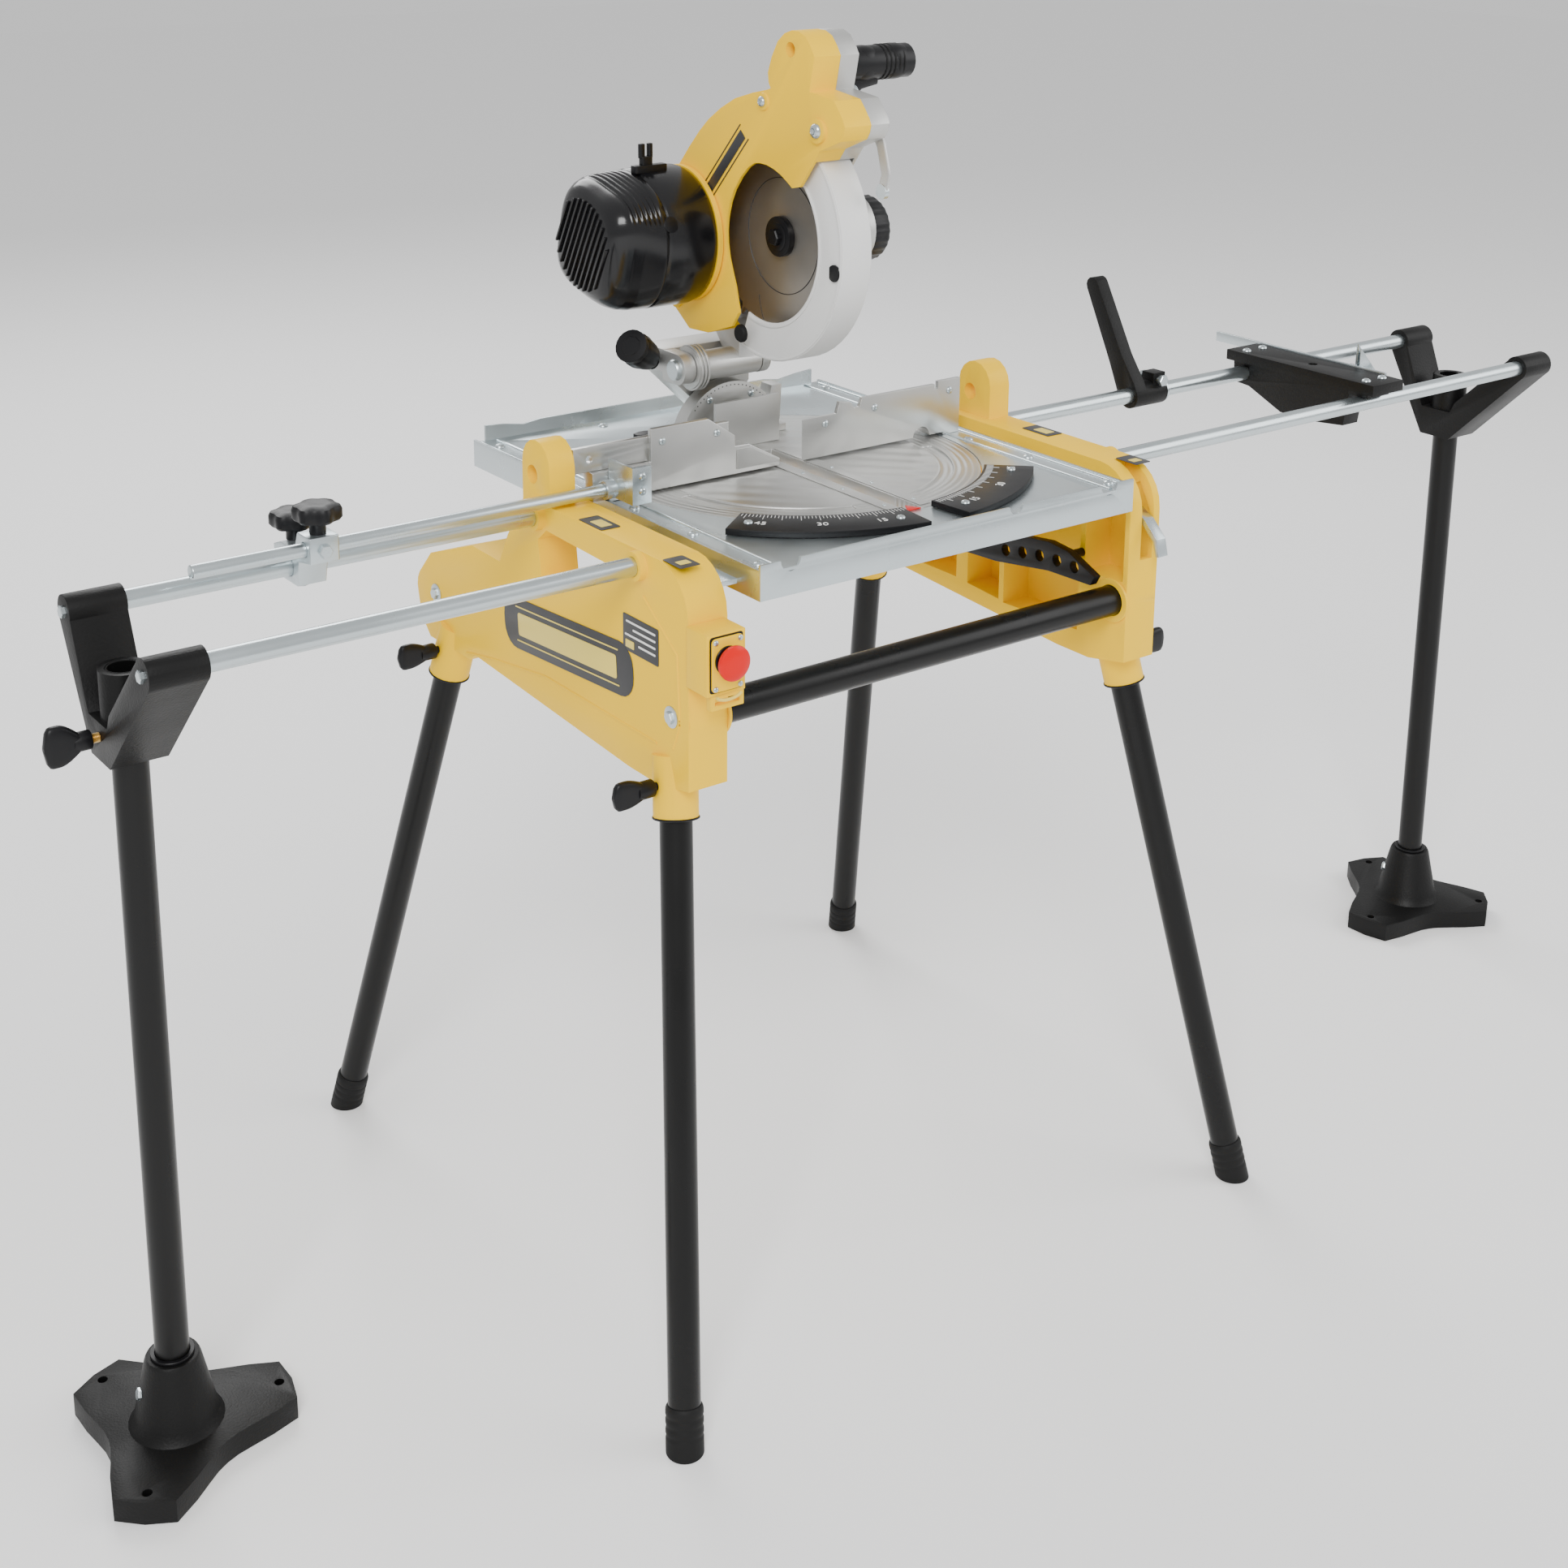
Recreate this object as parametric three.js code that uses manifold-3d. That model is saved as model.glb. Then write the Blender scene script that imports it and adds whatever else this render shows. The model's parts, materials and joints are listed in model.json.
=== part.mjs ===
// Mitre saw on a leg stand, with rail extensions to both sides.
// Millimetres, +X to the right along the rails, +Y to the back, +Z up.
// Lengths below are measured from the blade line (x = 0) and the floor (z = 0); the finished group
// is moved at the end so that its own origin is the middle of its footprint, on the floor.

import * as THREE from 'three';
import { mergeVertices } from 'three/addons/utils/BufferGeometryUtils.js';
import Module from 'manifold-3d';

const wasm = await Module();
wasm.setup();

// ---------------------------------------------------------------- driving dimensions

const GAP = 0.3;                    // clearance between neighbouring solids
const TABLE_TOP = 850;              // height of the work surface
const CASTING_INNER = 268;          // from the stand's middle to a casting's inner face
const CASTING_OUTER = 313;          // from the stand's middle to a casting's outer face
const CASTING_SKIN = 6;
const DECK_HALF = 246.5;
const DECK_FRONT = -228;
const DECK_BACK = 326;
const DECK_SHEET = 3;
const DECK_SKIRT = 28;

const LEG_RADIUS = 16.3;
const LEG_WALL = 1.6;
const FOOT_RADIUS = 19;
const LEG_TOP = { s: 305, front: -171, back: 290, z: 598 };
const LEG_FLOOR = { s: 387.5, front: -305.5, back: 439 };
const LEG_SOCKET = 46;              // length of leg held inside a socket
const LEG_CLAMP_Z = 630;
const CROSS_TUBE = { y: -184, z: 704, radius: 17, wall: 1.6 };

const RAIL_RADIUS = 9.6;
const RAIL_WALL = 1.5;
const RAIL_Z = 842;
const RAIL_REAR = 70;
const RAIL_FRONT = -121;
const POST_RADIUS = 16.5;
const POST_LEFT = -779;
const POST_RIGHT = 1090;
const BRACKET_HALF = 27;
const POST_TOP = 806;
const POST_SCREW_Z = 745;
const BASE_HEIGHT = 97;

const PIVOT_Y = 48;                 // mitre axis, just behind the fence face
const TURNTABLE_RADIUS = 205;
const TURNTABLE_THICK = 18;
const SCALE_INNER = 208;
const SCALE_OUTER = 262;
const SLOT = { left: -8, right: 14, front: -150, back: 110 };

const CHOP = { y: 167, z: 943 };    // axis that the head swings down on
const BLADE = { y: 71, z: 1101, radius: 125, thick: 2.6 };
const MOTOR = { y: 207, z: 1088, radius: 78, end: -172 };
const GUARD = { left: -36, split: -1.7, right: 22, wall: 4, cavity: 137 };

const STOP_ROD = { x0: -700, x1: -243, y: 34, z: 868, radius: 7 };
const STOP_CLAMP_X = -573;
const SWIVEL_X = 547;
const SUPPORT_X = 763;

// ---------------------------------------------------------------- finishes

const finish = (color, roughness, metalness) => () =>
  new THREE.MeshStandardMaterial({ color, roughness, metalness });
const YELLOW = finish(0xfbc91f, 0.42, 0.0);
const ALUMINIUM = finish(0xb9b9b5, 0.38, 1.0);
const ZINC = finish(0xc5d0d2, 0.28, 1.0);
const STEEL = finish(0x9b9894, 0.3, 1.0);
const BLACK_PAINT = finish(0x1b1c1b, 0.5, 0.2);
const BLACK_CASTING = finish(0x151515, 0.65, 0.1);
const BLACK_PLASTIC = finish(0x1a1a1b, 0.45, 0.0);
const RUBBER = finish(0x202020, 0.8, 0.0);
const GUARD_GREY = finish(0xcfcfcd, 0.4, 0.1);
const RED = finish(0xd42a20, 0.4, 0.0);

// ---------------------------------------------------------------- solids

const toSolid = (geometry) => {
  const bare = geometry.index ? geometry.toNonIndexed() : geometry.clone();
  bare.deleteAttribute('normal');
  bare.deleteAttribute('uv');
  const merged = mergeVertices(bare, 1e-4);
  return new wasm.Manifold(new wasm.Mesh({
    numProp: 3,
    vertProperties: new Float32Array(merged.attributes.position.array),
    triVerts: new Uint32Array(merged.index.array),
  }));
};

const toGeometry = (solid) => {
  const mesh = solid.getMesh();
  const geometry = new THREE.BufferGeometry();
  geometry.setAttribute('position', new THREE.BufferAttribute(mesh.vertProperties, 3));
  geometry.setIndex(new THREE.BufferAttribute(mesh.triVerts, 1));
  geometry.computeVertexNormals();
  return geometry;
};

const join = (...solids) => solids.reduce((a, b) => a.add(b));
const cut = (solid, ...tools) => tools.reduce((a, b) => a.subtract(b), solid);

const box = (x0, x1, y0, y1, z0, z1) => {
  const geometry = new THREE.BoxGeometry(x1 - x0, y1 - y0, z1 - z0);
  return toSolid(geometry.translate((x0 + x1) / 2, (y0 + y1) / 2, (z0 + z1) / 2));
};

// A round bar between two points; the second radius makes it a cone.
const rod = (from, to, radius, segments = 24, endRadius = radius) => {
  const a = new THREE.Vector3(...from);
  const b = new THREE.Vector3(...to);
  const along = b.clone().sub(a);
  const geometry = new THREE.CylinderGeometry(endRadius, radius, along.length(), segments);
  geometry.translate(0, along.length() / 2, 0);
  const turn = new THREE.Quaternion().setFromUnitVectors(new THREE.Vector3(0, 1, 0), along.normalize());
  geometry.applyQuaternion(turn).translate(...from);
  return toSolid(geometry);
};

const tube = (from, to, radius, wall, segments = 24) => {
  const a = new THREE.Vector3(...from);
  const b = new THREE.Vector3(...to);
  const over = b.clone().sub(a).setLength(1);
  const start = a.clone().sub(over).toArray();
  const stop = b.clone().add(over).toArray();
  return cut(rod(from, to, radius, segments), rod(start, stop, radius - wall, segments));
};

// A flat outline carried along an axis: (y, z) points for 'x', (x, z) for 'y', (x, y) for 'z'.
const prism = (axis, points, from, to, holes = []) => {
  const shape = new THREE.Shape(points.map(([u, v]) => new THREE.Vector2(u, v)));
  shape.holes = holes.map((hole) => new THREE.Path(hole.map(([u, v]) => new THREE.Vector2(u, v))));
  const geometry = new THREE.ExtrudeGeometry(shape, { depth: to - from, bevelEnabled: false });
  const bases = {
    x: [[0, 1, 0], [0, 0, 1], [1, 0, 0], [from, 0, 0]],
    y: [[1, 0, 0], [0, 0, 1], [0, -1, 0], [0, to, 0]],
    z: [[1, 0, 0], [0, 1, 0], [0, 0, 1], [0, 0, from]],
  };
  const [u, v, w, origin] = bases[axis].map((column) => new THREE.Vector3(...column));
  geometry.applyMatrix4(new THREE.Matrix4().makeBasis(u, v, w).setPosition(origin));
  return toSolid(geometry);
};

// Points of an arc, in degrees, ends included.
const arc = (cx, cy, radius, from, to, steps) =>
  Array.from({ length: steps + 1 }, (_, i) => {
    const angle = THREE.MathUtils.degToRad(from + (to - from) * i / steps);
    return [cx + radius * Math.cos(angle), cy + radius * Math.sin(angle)];
  });

const ringSector = (cx, cy, inner, outer, from, to, steps) => [
  ...arc(cx, cy, outer, from, to, steps),
  ...arc(cx, cy, inner, to, from, steps),
];

// A turned piece: [radius, distance along the axis] points, about an axis through a point.
const turned = (axis, origin, profile, segments = 28) => {
  const points = profile.map(([radius, along]) => new THREE.Vector2(radius, along));
  const geometry = new THREE.LatheGeometry(points, segments);
  const direction = { x: [1, 0, 0], y: [0, 1, 0], z: [0, 0, 1] }[axis];
  const turn = new THREE.Quaternion().setFromUnitVectors(
    new THREE.Vector3(0, 1, 0), new THREE.Vector3(...direction));
  return toSolid(geometry.applyQuaternion(turn).translate(...origin));
};

// Removes everything below a level.
const above = (solid, z) => cut(solid, box(-3000, 3000, -3000, 3000, z - 500, z));

const saw = new THREE.Group();
const add = (name, solid, material) => {
  const mesh = new THREE.Mesh(toGeometry(solid), material());
  mesh.name = name;
  saw.add(mesh);
};

// ---------------------------------------------------------------- stand

const sideX = (side, s) => side * s;

// The slab of a side casting between two distances from the stand's middle.
const sideSlab = (side, points, s0, s1, holes) => {
  const [low, high] = [sideX(side, s0), sideX(side, s1)].sort((a, b) => a - b);
  return prism('x', points, low, high, holes);
};

// A point on a leg's axis at a height, for either side and either end.
const legPoint = (side, end, z) => {
  const t = (LEG_TOP.z - z) / LEG_TOP.z;
  const s = LEG_TOP.s + (LEG_FLOOR.s - LEG_TOP.s) * t;
  const y = LEG_TOP[end] + (LEG_FLOOR[end] - LEG_TOP[end]) * t;
  return [sideX(side, s), y, z];
};

const castingOutline = () => [
  [-205, 636],
  ...arc(-155, 807, 50, 180, 90, 6),
  [97, 857],
  [135, 803],
  [153, 769],
  [214, 770],
  [311, 735],
  ...arc(320, 688, 26, 40, -20, 3),
  [338, 653],
  [318, 633],
  [225, 634],
  [214, 643],
  [-99, 625],
  [-150, 625],
];

const CASTING_WINDOW = [[65, 771], [71, 816], [54, 830], [-61, 827], [-34, 799]];

const POCKETS = [
  [[-198, 728], [-198, 806], [-182, 834], [-138, 812], [-138, 726]],
  [[-130, 652], [-130, 806], [-72, 800], [-26, 764], [-6, 752], [-6, 648]],
  [[2, 650], [2, 752], [58, 760], [58, 654]],
  [[78, 656], [78, 812], [92, 812], [130, 790], [146, 762], [146, 656]],
  [[154, 656], [154, 762], [210, 762], [250, 748], [250, 664], [220, 650]],
];

const lug = (side) => {
  const outline = [[45, 852], ...arc(72.5, 894.5, 27.5, 180, 0, 8), [100, 852]];
  const hole = arc(80, 884, 10, 0, 345, 15);
  return sideSlab(side, outline, CASTING_OUTER - 30, CASTING_OUTER, [hole]);
};

const legSocket = (side, end) => {
  const low = legPoint(side, end, LEG_TOP.z - 3);
  const high = legPoint(side, end, LEG_TOP.z + LEG_SOCKET + 12);
  return rod(low, high, LEG_RADIUS + 6.5, 20);
};

const legBore = (side, end) => {
  const low = legPoint(side, end, LEG_TOP.z - 20);
  const high = legPoint(side, end, LEG_TOP.z + LEG_SOCKET + GAP);
  return rod(low, high, LEG_RADIUS + GAP, 24);
};

const railBoss = (side, y) =>
  rod([sideX(side, CASTING_INNER), y, RAIL_Z], [sideX(side, CASTING_OUTER + 8), y, RAIL_Z], 15, 20);

const railBore = (side, y) =>
  rod([sideX(side, CASTING_INNER + 8), y, RAIL_Z], [sideX(side, CASTING_OUTER + 20), y, RAIL_Z],
    RAIL_RADIUS + GAP, 20);

const clampHole = (side, end) => {
  const [x, y, z] = legPoint(side, end, LEG_CLAMP_Z);
  return rod([x, y, z], [sideX(side, CASTING_OUTER + 20), y, z], 4.4, 12);
};

const casting = (side) => {
  const body = sideSlab(side, castingOutline(), CASTING_INNER, CASTING_OUTER, [CASTING_WINDOW]);
  const pockets = POCKETS.map((p) => sideSlab(side, p, CASTING_INNER - 5, CASTING_OUTER - CASTING_SKIN));
  const crossAt = (s) => [sideX(side, s), CROSS_TUBE.y, CROSS_TUBE.z];
  const crossBoss = rod(crossAt(CASTING_INNER), crossAt(CASTING_OUTER - 1), CROSS_TUBE.radius + 5, 20);
  const crossBore = rod(crossAt(CASTING_INNER - 5), crossAt(CASTING_INNER + 30 + GAP),
    CROSS_TUBE.radius + GAP, 24);
  const whole = join(cut(body, ...pockets), lug(side), crossBoss,
    legSocket(side, 'front'), legSocket(side, 'back'),
    railBoss(side, RAIL_REAR), railBoss(side, RAIL_FRONT));
  return cut(whole, crossBore, legBore(side, 'front'), legBore(side, 'back'),
    railBore(side, RAIL_REAR), railBore(side, RAIL_FRONT),
    clampHole(side, 'front'), clampHole(side, 'back'));
};

// The right casting also has a slot at its front corner for the release lever.
const LATCH = { x: 295, half: 7, y: -172, z: 806 };
const latchSlot = () => box(LATCH.x - LATCH.half - 2, LATCH.x + LATCH.half + 2, -260, -158, 752, 900);

const leg = (side, end) =>
  tube(legPoint(side, end, 10), legPoint(side, end, LEG_TOP.z + LEG_SOCKET), LEG_RADIUS, LEG_WALL);

const foot = (side, end) => {
  const rubber = above(rod(legPoint(side, end, -12), legPoint(side, end, 44), FOOT_RADIUS), 0);
  return cut(rubber, rod(legPoint(side, end, 10 - GAP), legPoint(side, end, 60), LEG_RADIUS + GAP));
};

// Wing screw that clamps a leg in its socket.
const clampKnob = (side, end) => {
  const [x, y, z] = legPoint(side, end, LEG_CLAMP_Z);
  const start = Math.abs(x) + LEG_RADIUS + 0.8;
  const at = (s) => [sideX(side, s), y, z];
  const stem = rod(at(start), at(start + 18), 4, 12);
  const collar = rod(at(start + 10), at(start + 26), 9, 16);
  const [x0, x1] = [sideX(side, start + 24), sideX(side, start + 56)].sort((a, b) => a - b);
  const wing = box(x0, x1, y - 6, y + 6, z - 15, z + 15);
  return join(stem, collar, wing);
};

const SIDES = { left: -1, right: 1 };
const ENDS = ['front', 'back'];
for (const [sideName, side] of Object.entries(SIDES)) {
  const plain = casting(side);
  add(`casting_${sideName}`, side > 0 ? cut(plain, latchSlot()) : plain, YELLOW);
  for (const end of ENDS) {
    add(`leg_${end}_${sideName}`, leg(side, end), BLACK_PAINT);
    add(`foot_${end}_${sideName}`, foot(side, end), RUBBER);
    add(`leg_clamp_${end}_${sideName}`, clampKnob(side, end), BLACK_PLASTIC);
  }
}

const crossTube = () => {
  const s = CASTING_INNER + 30;
  return tube([sideX(-1, s), CROSS_TUBE.y, CROSS_TUBE.z], [sideX(1, s), CROSS_TUBE.y, CROSS_TUBE.z],
    CROSS_TUBE.radius, CROSS_TUBE.wall);
};
add('cross_tube', crossTube(), BLACK_PAINT);

// ---------------------------------------------------------------- switch

const SWITCH = { x0: -316, x1: -272, y0: -240, y1: -205 - GAP, z0: 745, z1: 806 };
const BUTTON = { x: -295, z: 780, radius: 17.5 };

const switchBox = () => {
  const shell = box(SWITCH.x0, SWITCH.x1, SWITCH.y0, SWITCH.y1, SWITCH.z0, SWITCH.z1);
  const bore = rod([BUTTON.x, SWITCH.y0 - 5, BUTTON.z], [BUTTON.x, SWITCH.y0 + 22, BUTTON.z], 8.5, 16);
  const loop = cut(
    box(SWITCH.x0 + 6, SWITCH.x1, SWITCH.y0 + 2, SWITCH.y0 + 10, SWITCH.z0 - 16, SWITCH.z0 + 2),
    box(SWITCH.x0 + 11, SWITCH.x1 - 5, SWITCH.y0, SWITCH.y0 + 12, SWITCH.z0 - 11, SWITCH.z0 - 5));
  return join(cut(shell, bore), loop);
};
add('switch_box', switchBox(), YELLOW);

const BUTTON_TRAVEL = 5;
const stopButton = () => {
  const face = SWITCH.y0 - BUTTON_TRAVEL - 1;
  const cap = turned('y', [BUTTON.x, 0, BUTTON.z],
    [[0, face - 13], [11, face - 12], [BUTTON.radius, face - 7], [BUTTON.radius, face - 3], [7, face], [0, face]]);
  return join(cap, rod([BUTTON.x, face - 2, BUTTON.z], [BUTTON.x, SWITCH.y0 + 14, BUTTON.z], 8, 16));
};
add('stop_button', stopButton(), RED);

// ---------------------------------------------------------------- table

const deck = () => {
  const half = DECK_HALF;
  const sheet = box(-half, half, DECK_FRONT, DECK_BACK, TABLE_TOP - DECK_SHEET, TABLE_TOP);
  const opening = rod([0, PIVOT_Y, TABLE_TOP - 10], [0, PIVOT_Y, TABLE_TOP + 10], TURNTABLE_RADIUS + 1.5, 60);
  const low = TABLE_TOP - DECK_SKIRT;
  const rim = TABLE_TOP + 8;
  const front = prism('y', [
    [-half, low], [half, low], [half, rim],
    ...arc(half - 36, rim, 12, 0, -180, 8),
    ...arc(78, rim, 9, 0, -180, 6),
    ...arc(36 - half, rim, 12, 0, -180, 8),
    [-half, rim],
  ], DECK_FRONT, DECK_FRONT + DECK_SHEET);
  const back = prism('y', [
    [14 - half, low], [half - 14, low], [half - 14, 868], [half - 38, 866], [half - 64, 862],
    [half - 86, 865], [86 - half, 865], [64 - half, 862], [38 - half, 866], [14 - half, 868],
  ], DECK_BACK - DECK_SHEET, DECK_BACK);
  const lip = (x) => box(x, x + DECK_SHEET, DECK_FRONT, DECK_BACK, low, TABLE_TOP + 2.5);
  const reach = CASTING_INNER - GAP;
  const tab = (y) => box(-reach, -half + 2, y, y + 60, TABLE_TOP - 20, TABLE_TOP - 15)
    .add(box(half - 2, reach, y, y + 60, TABLE_TOP - 20, TABLE_TOP - 15));
  return join(cut(sheet, opening), front, back, lip(-half), lip(half - DECK_SHEET), tab(-60), tab(-190));
};
add('deck', deck(), ZINC);

const scaleArc = (from, to) => {
  const plate = prism('z', ringSector(0, PIVOT_Y, SCALE_INNER, SCALE_OUTER, from, to, 12),
    TABLE_TOP + GAP, TABLE_TOP + 7);
  return cut(plate, box(-300, 300, DECK_FRONT - 20, DECK_FRONT + DECK_SHEET + GAP, 800, 900));
};
add('scale_left', scaleArc(218, 265), BLACK_PLASTIC);
add('scale_right', scaleArc(276, 318), BLACK_PLASTIC);

// ---------------------------------------------------------------- fence

const FENCE = { face: 45, back: 75, base: TABLE_TOP + 3 };

// One extruded half of the fence, with a thicker end that stands on the deck outside the turntable.
const fenceHalf = (x0, x1, footX0, footX1) => {
  const { face, back, base } = FENCE;
  const section = [
    [face, base], [back, base], [back, base + 7], [face + 15, base + 11], [face + 15, base + 20],
    [face + 20, base + 24], [face + 20, base + 31], [face, base + 31],
  ];
  const footing = box(footX0, footX1, face, back, TABLE_TOP + GAP, base + 2);
  return join(prism('x', section, x0, x1), footing);
};

// The inner end slopes away from the slot, so that the tilted blade clears it.
const fenceLeft = () => {
  const { face, base } = FENCE;
  const plate = prism('y', [
    [-190, base + 5], [-82, base + 5], [-82, base + 43], [-117, base + 67], [-190, base + 67],
  ], face, face + 6);
  const slope = prism('y', [[-18, base + 5.8], [-18, base + 34], [-69.5, base + 34]], face - 5, FENCE.back + 5);
  return join(cut(fenceHalf(-262, -22, -242, -212), slope), plate);
};
add('fence_left', fenceLeft(), ALUMINIUM);

const fenceRight = () => {
  const top = prism('y', [
    [8, 880], [236, 880], [236, 915], [203, 915], [203, 906], [198, 906], [198, 912],
    [92, 912], [88, 902], [80, 902], [76, 909], [60, 912], [56, 899], [8, 899],
  ], FENCE.face, FENCE.face + 5);
  // Relief behind the inner end, for the blade at 45 degrees.
  const relief = prism('z', [[0, 45.5], [8.5, 45.5], [40, 77], [0, 77]], 840, 930);
  const mouseHole = rod([179.5, FENCE.face - 5, FENCE.base - 1], [179.5, FENCE.back + 5, FENCE.base - 1], 12.5, 20);
  return cut(join(fenceHalf(8, 236, 212, 236), top), mouseHole, relief);
};
add('fence_right', fenceRight(), ALUMINIUM);

// Upper plate that slides along behind the left half.
const fenceSlide = () => {
  const y0 = FENCE.face + 6 + GAP;
  const plate = box(-281, -86, y0, y0 + 7, FENCE.base + 31 + GAP, FENCE.base + 58);
  return cut(plate, rod([-262, y0 - 5, 898], [-262, y0 + 15, 898], 4, 12));
};
add('fence_slide', fenceSlide(), ALUMINIUM);

// ---------------------------------------------------------------- turntable and bevel base

const turntable = () => {
  const low = TABLE_TOP - TURNTABLE_THICK;
  const disc = rod([0, PIVOT_Y, low], [0, PIVOT_Y, TABLE_TOP], TURNTABLE_RADIUS, 60);
  const kerf = box(SLOT.left, SLOT.right, SLOT.front, SLOT.back, low - 5, TABLE_TOP + 5);
  const cradle = box(-30, 30, 189, 280, low - 5, TABLE_TOP + 5);
  const groove = prism('z', ringSector(0, PIVOT_Y, 161, 175, 190, 255, 10), TABLE_TOP - 1.5, TABLE_TOP + 5);
  const groove2 = prism('z', ringSector(0, PIVOT_Y, 161, 175, 285, 350, 10), TABLE_TOP - 1.5, TABLE_TOP + 5);
  return cut(disc, kerf, cradle, groove, groove2);
};
add('turntable', turntable(), ALUMINIUM);

const ARCH = { outer: 68, inner: 48, front: 170, back: 190 };
const BEVEL_PIN = 8;

// Half ring that the head tilts against, its foot strip, a low wall before it, and the tilt pin.
const bevelBase = () => {
  const floor = TABLE_TOP + GAP;
  const ring = prism('y', ringSector(0, TABLE_TOP, ARCH.inner, ARCH.outer, 1, 179, 24), ARCH.front, ARCH.back);
  const web = prism('y', arc(0, TABLE_TOP, ARCH.inner + 1, 1, 179, 20), ARCH.front + 7, ARCH.back - 5);
  const strip = box(-76, 76, 166, 190, floor, TABLE_TOP + 8);
  const apron = box(-44, 44, 136, 168, floor, TABLE_TOP + 6);
  const wall = box(-44, 44, 136, 140, floor, TABLE_TOP + 55);
  const hub = rod([0, ARCH.front, TABLE_TOP + 1], [0, ARCH.back, TABLE_TOP + 1], 16, 20);
  const stop = prism('y', [[50, 870], [70, 862], [72, 905], [58, 905]], ARCH.front, ARCH.back);
  const whole = cut(join(ring, web, strip, apron, wall, hub, stop), box(-90, 90, 130, 195, 800, floor));
  const pinSeat = box(-BEVEL_PIN, BEVEL_PIN, ARCH.back - 8, ARCH.back, TABLE_TOP, TABLE_TOP + 12);
  const pin = rod([0, ARCH.back - 4, TABLE_TOP], [0, 244, TABLE_TOP], BEVEL_PIN, 16);
  const room = box(-20, 20, 100, ARCH.back - GAP, 800, floor);
  return join(whole, pinSeat, cut(pin, room));
};
add('bevel_base', bevelBase(), ALUMINIUM);

// Wing screw that locks the turntable, behind the fence.
const LOCK = { x: -92, y: 206 };
const mitreLock = () => join(
  rod([LOCK.x, LOCK.y, TABLE_TOP + GAP], [LOCK.x, LOCK.y, TABLE_TOP + 8], 7, 12),
  prism('z', [[-14, -4], [-4, -8], [4, -8], [14, -4], [14, 4], [4, 8], [-4, 8], [-14, 4]]
    .map(([u, v]) => [LOCK.x + u, LOCK.y + v]), TABLE_TOP + 4, TABLE_TOP + 14));
add('mitre_lock', mitreLock(), BLACK_PLASTIC);

// ---------------------------------------------------------------- bevel arm

const ARM_Y = { front: 193, back: 235 };
const EARS = { left: [-76, -61], right: [31, 42], radius: 17.5, pin: 8 };

// Upright that tilts on the pin; two ears reach forward and hold the head's barrel and its pin.
const bevelArm = () => {
  const hub = rod([0, ARM_Y.front, TABLE_TOP], [0, ARM_Y.back, TABLE_TOP], 20, 24);
  const web = prism('y', [
    [-19, 0], [19, 0], [19, 30], [42, 60], [42, 111], [-76, 111], [-76, 85], [-19, 30],
  ].map(([u, v]) => [u, v + TABLE_TOP]), ARM_Y.front, ARM_Y.back);
  const earOutline = [...arc(CHOP.y, CHOP.z, EARS.radius, 90, 270, 10), [ARM_Y.front + 2, 925.5], [ARM_Y.front + 2, 960.5]];
  const leftEar = prism('x', earOutline, ...EARS.left);
  const rightEar = prism('x', earOutline, ...EARS.right);
  const pin = rod([-70, CHOP.y, CHOP.z], [38, CHOP.y, CHOP.z], EARS.pin, 16);
  const tab = box(-94, -70, 214, 232, 938, 959);
  const bore = rod([0, 150, TABLE_TOP], [0, 300, TABLE_TOP], BEVEL_PIN + GAP, 16);
  return cut(join(hub, web, leftEar, rightEar, pin, tab), bore);
};
add('bevel_arm', bevelArm(), ALUMINIUM);

// Bevel lock: a short lever with a fat round knob, in front of a tab on the arm.
const LEVER = { x: -88, z: 948, y0: 197, y1: 214 - GAP };
const bevelLever = () => {
  const boss = rod([LEVER.x, LEVER.y0, LEVER.z], [LEVER.x, LEVER.y1, LEVER.z], 9, 16);
  const neck = rod([LEVER.x - 2, 204, LEVER.z], [-104, 184, 959], 7, 14, 8);
  const knob = rod([-101, 186, 957], [-135, 168, 978], 14, 20, 19);
  return join(boss, neck, knob);
};
add('bevel_lever', bevelLever(), BLACK_PLASTIC);

// ---------------------------------------------------------------- head

// Points of a smooth curve through the ones given.
const smooth = (points, steps) =>
  new THREE.SplineCurve(points.map(([u, v]) => new THREE.Vector2(u, v)))
    .getPoints(steps).map(({ x, y }) => [x, y]);

// Side view of the guard and its casting: a neck at the top, the round shoulder over the blade,
// a tab and the motor end at the back, and a lower rear lobe round the front opening.
const guardOutline = () => [
  ...smooth([[-27, 1304], [-12, 1323], [12, 1328], [36, 1315], [53, 1281], [48, 1265]], 10),
  ...smooth([[54, 1263], [112, 1248], [162, 1220], [193, 1192], [208, 1176], [242, 1139]], 10),
  [281, 1128],
  ...smooth([[255, 1110], [237, 1078], [241, 1040], [254, 1011]], 6),
  [232, 1001],
  [200, 979],
  [163, 981],
  [117, 997],
  [105, 1014],
  ...smooth([[113, 1043], [126, 1077], [128, 1111], [115, 1147], [86, 1178], [61, 1184], [33, 1178], [9, 1165]], 16),
  [-5, 1168],
  [-37, 1209],
  ...smooth([[-72, 1223], [-79, 1236], [-74, 1247], [-60, 1263]], 5),
  [-19, 1268],
];

const bladeRoom = (x0, x1) => rod([x0, BLADE.y, BLADE.z], [x1, BLADE.y, BLADE.z], GUARD.cavity, 48);
const motorRod = (x0, x1, radius, segments = 32) =>
  rod([x0, MOTOR.y, MOTOR.z], [x1, MOTOR.y, MOTOR.z], radius, segments);
const bladeRod = (x0, x1, radius, segments = 24) =>
  rod([x0, BLADE.y, BLADE.z], [x1, BLADE.y, BLADE.z], radius, segments);

// A hole across the neck, where the head is lifted and tied down.
const neckHole = () => rod([-60, 14, 1308], [60, 14, 1308], 8, 16);

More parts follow.
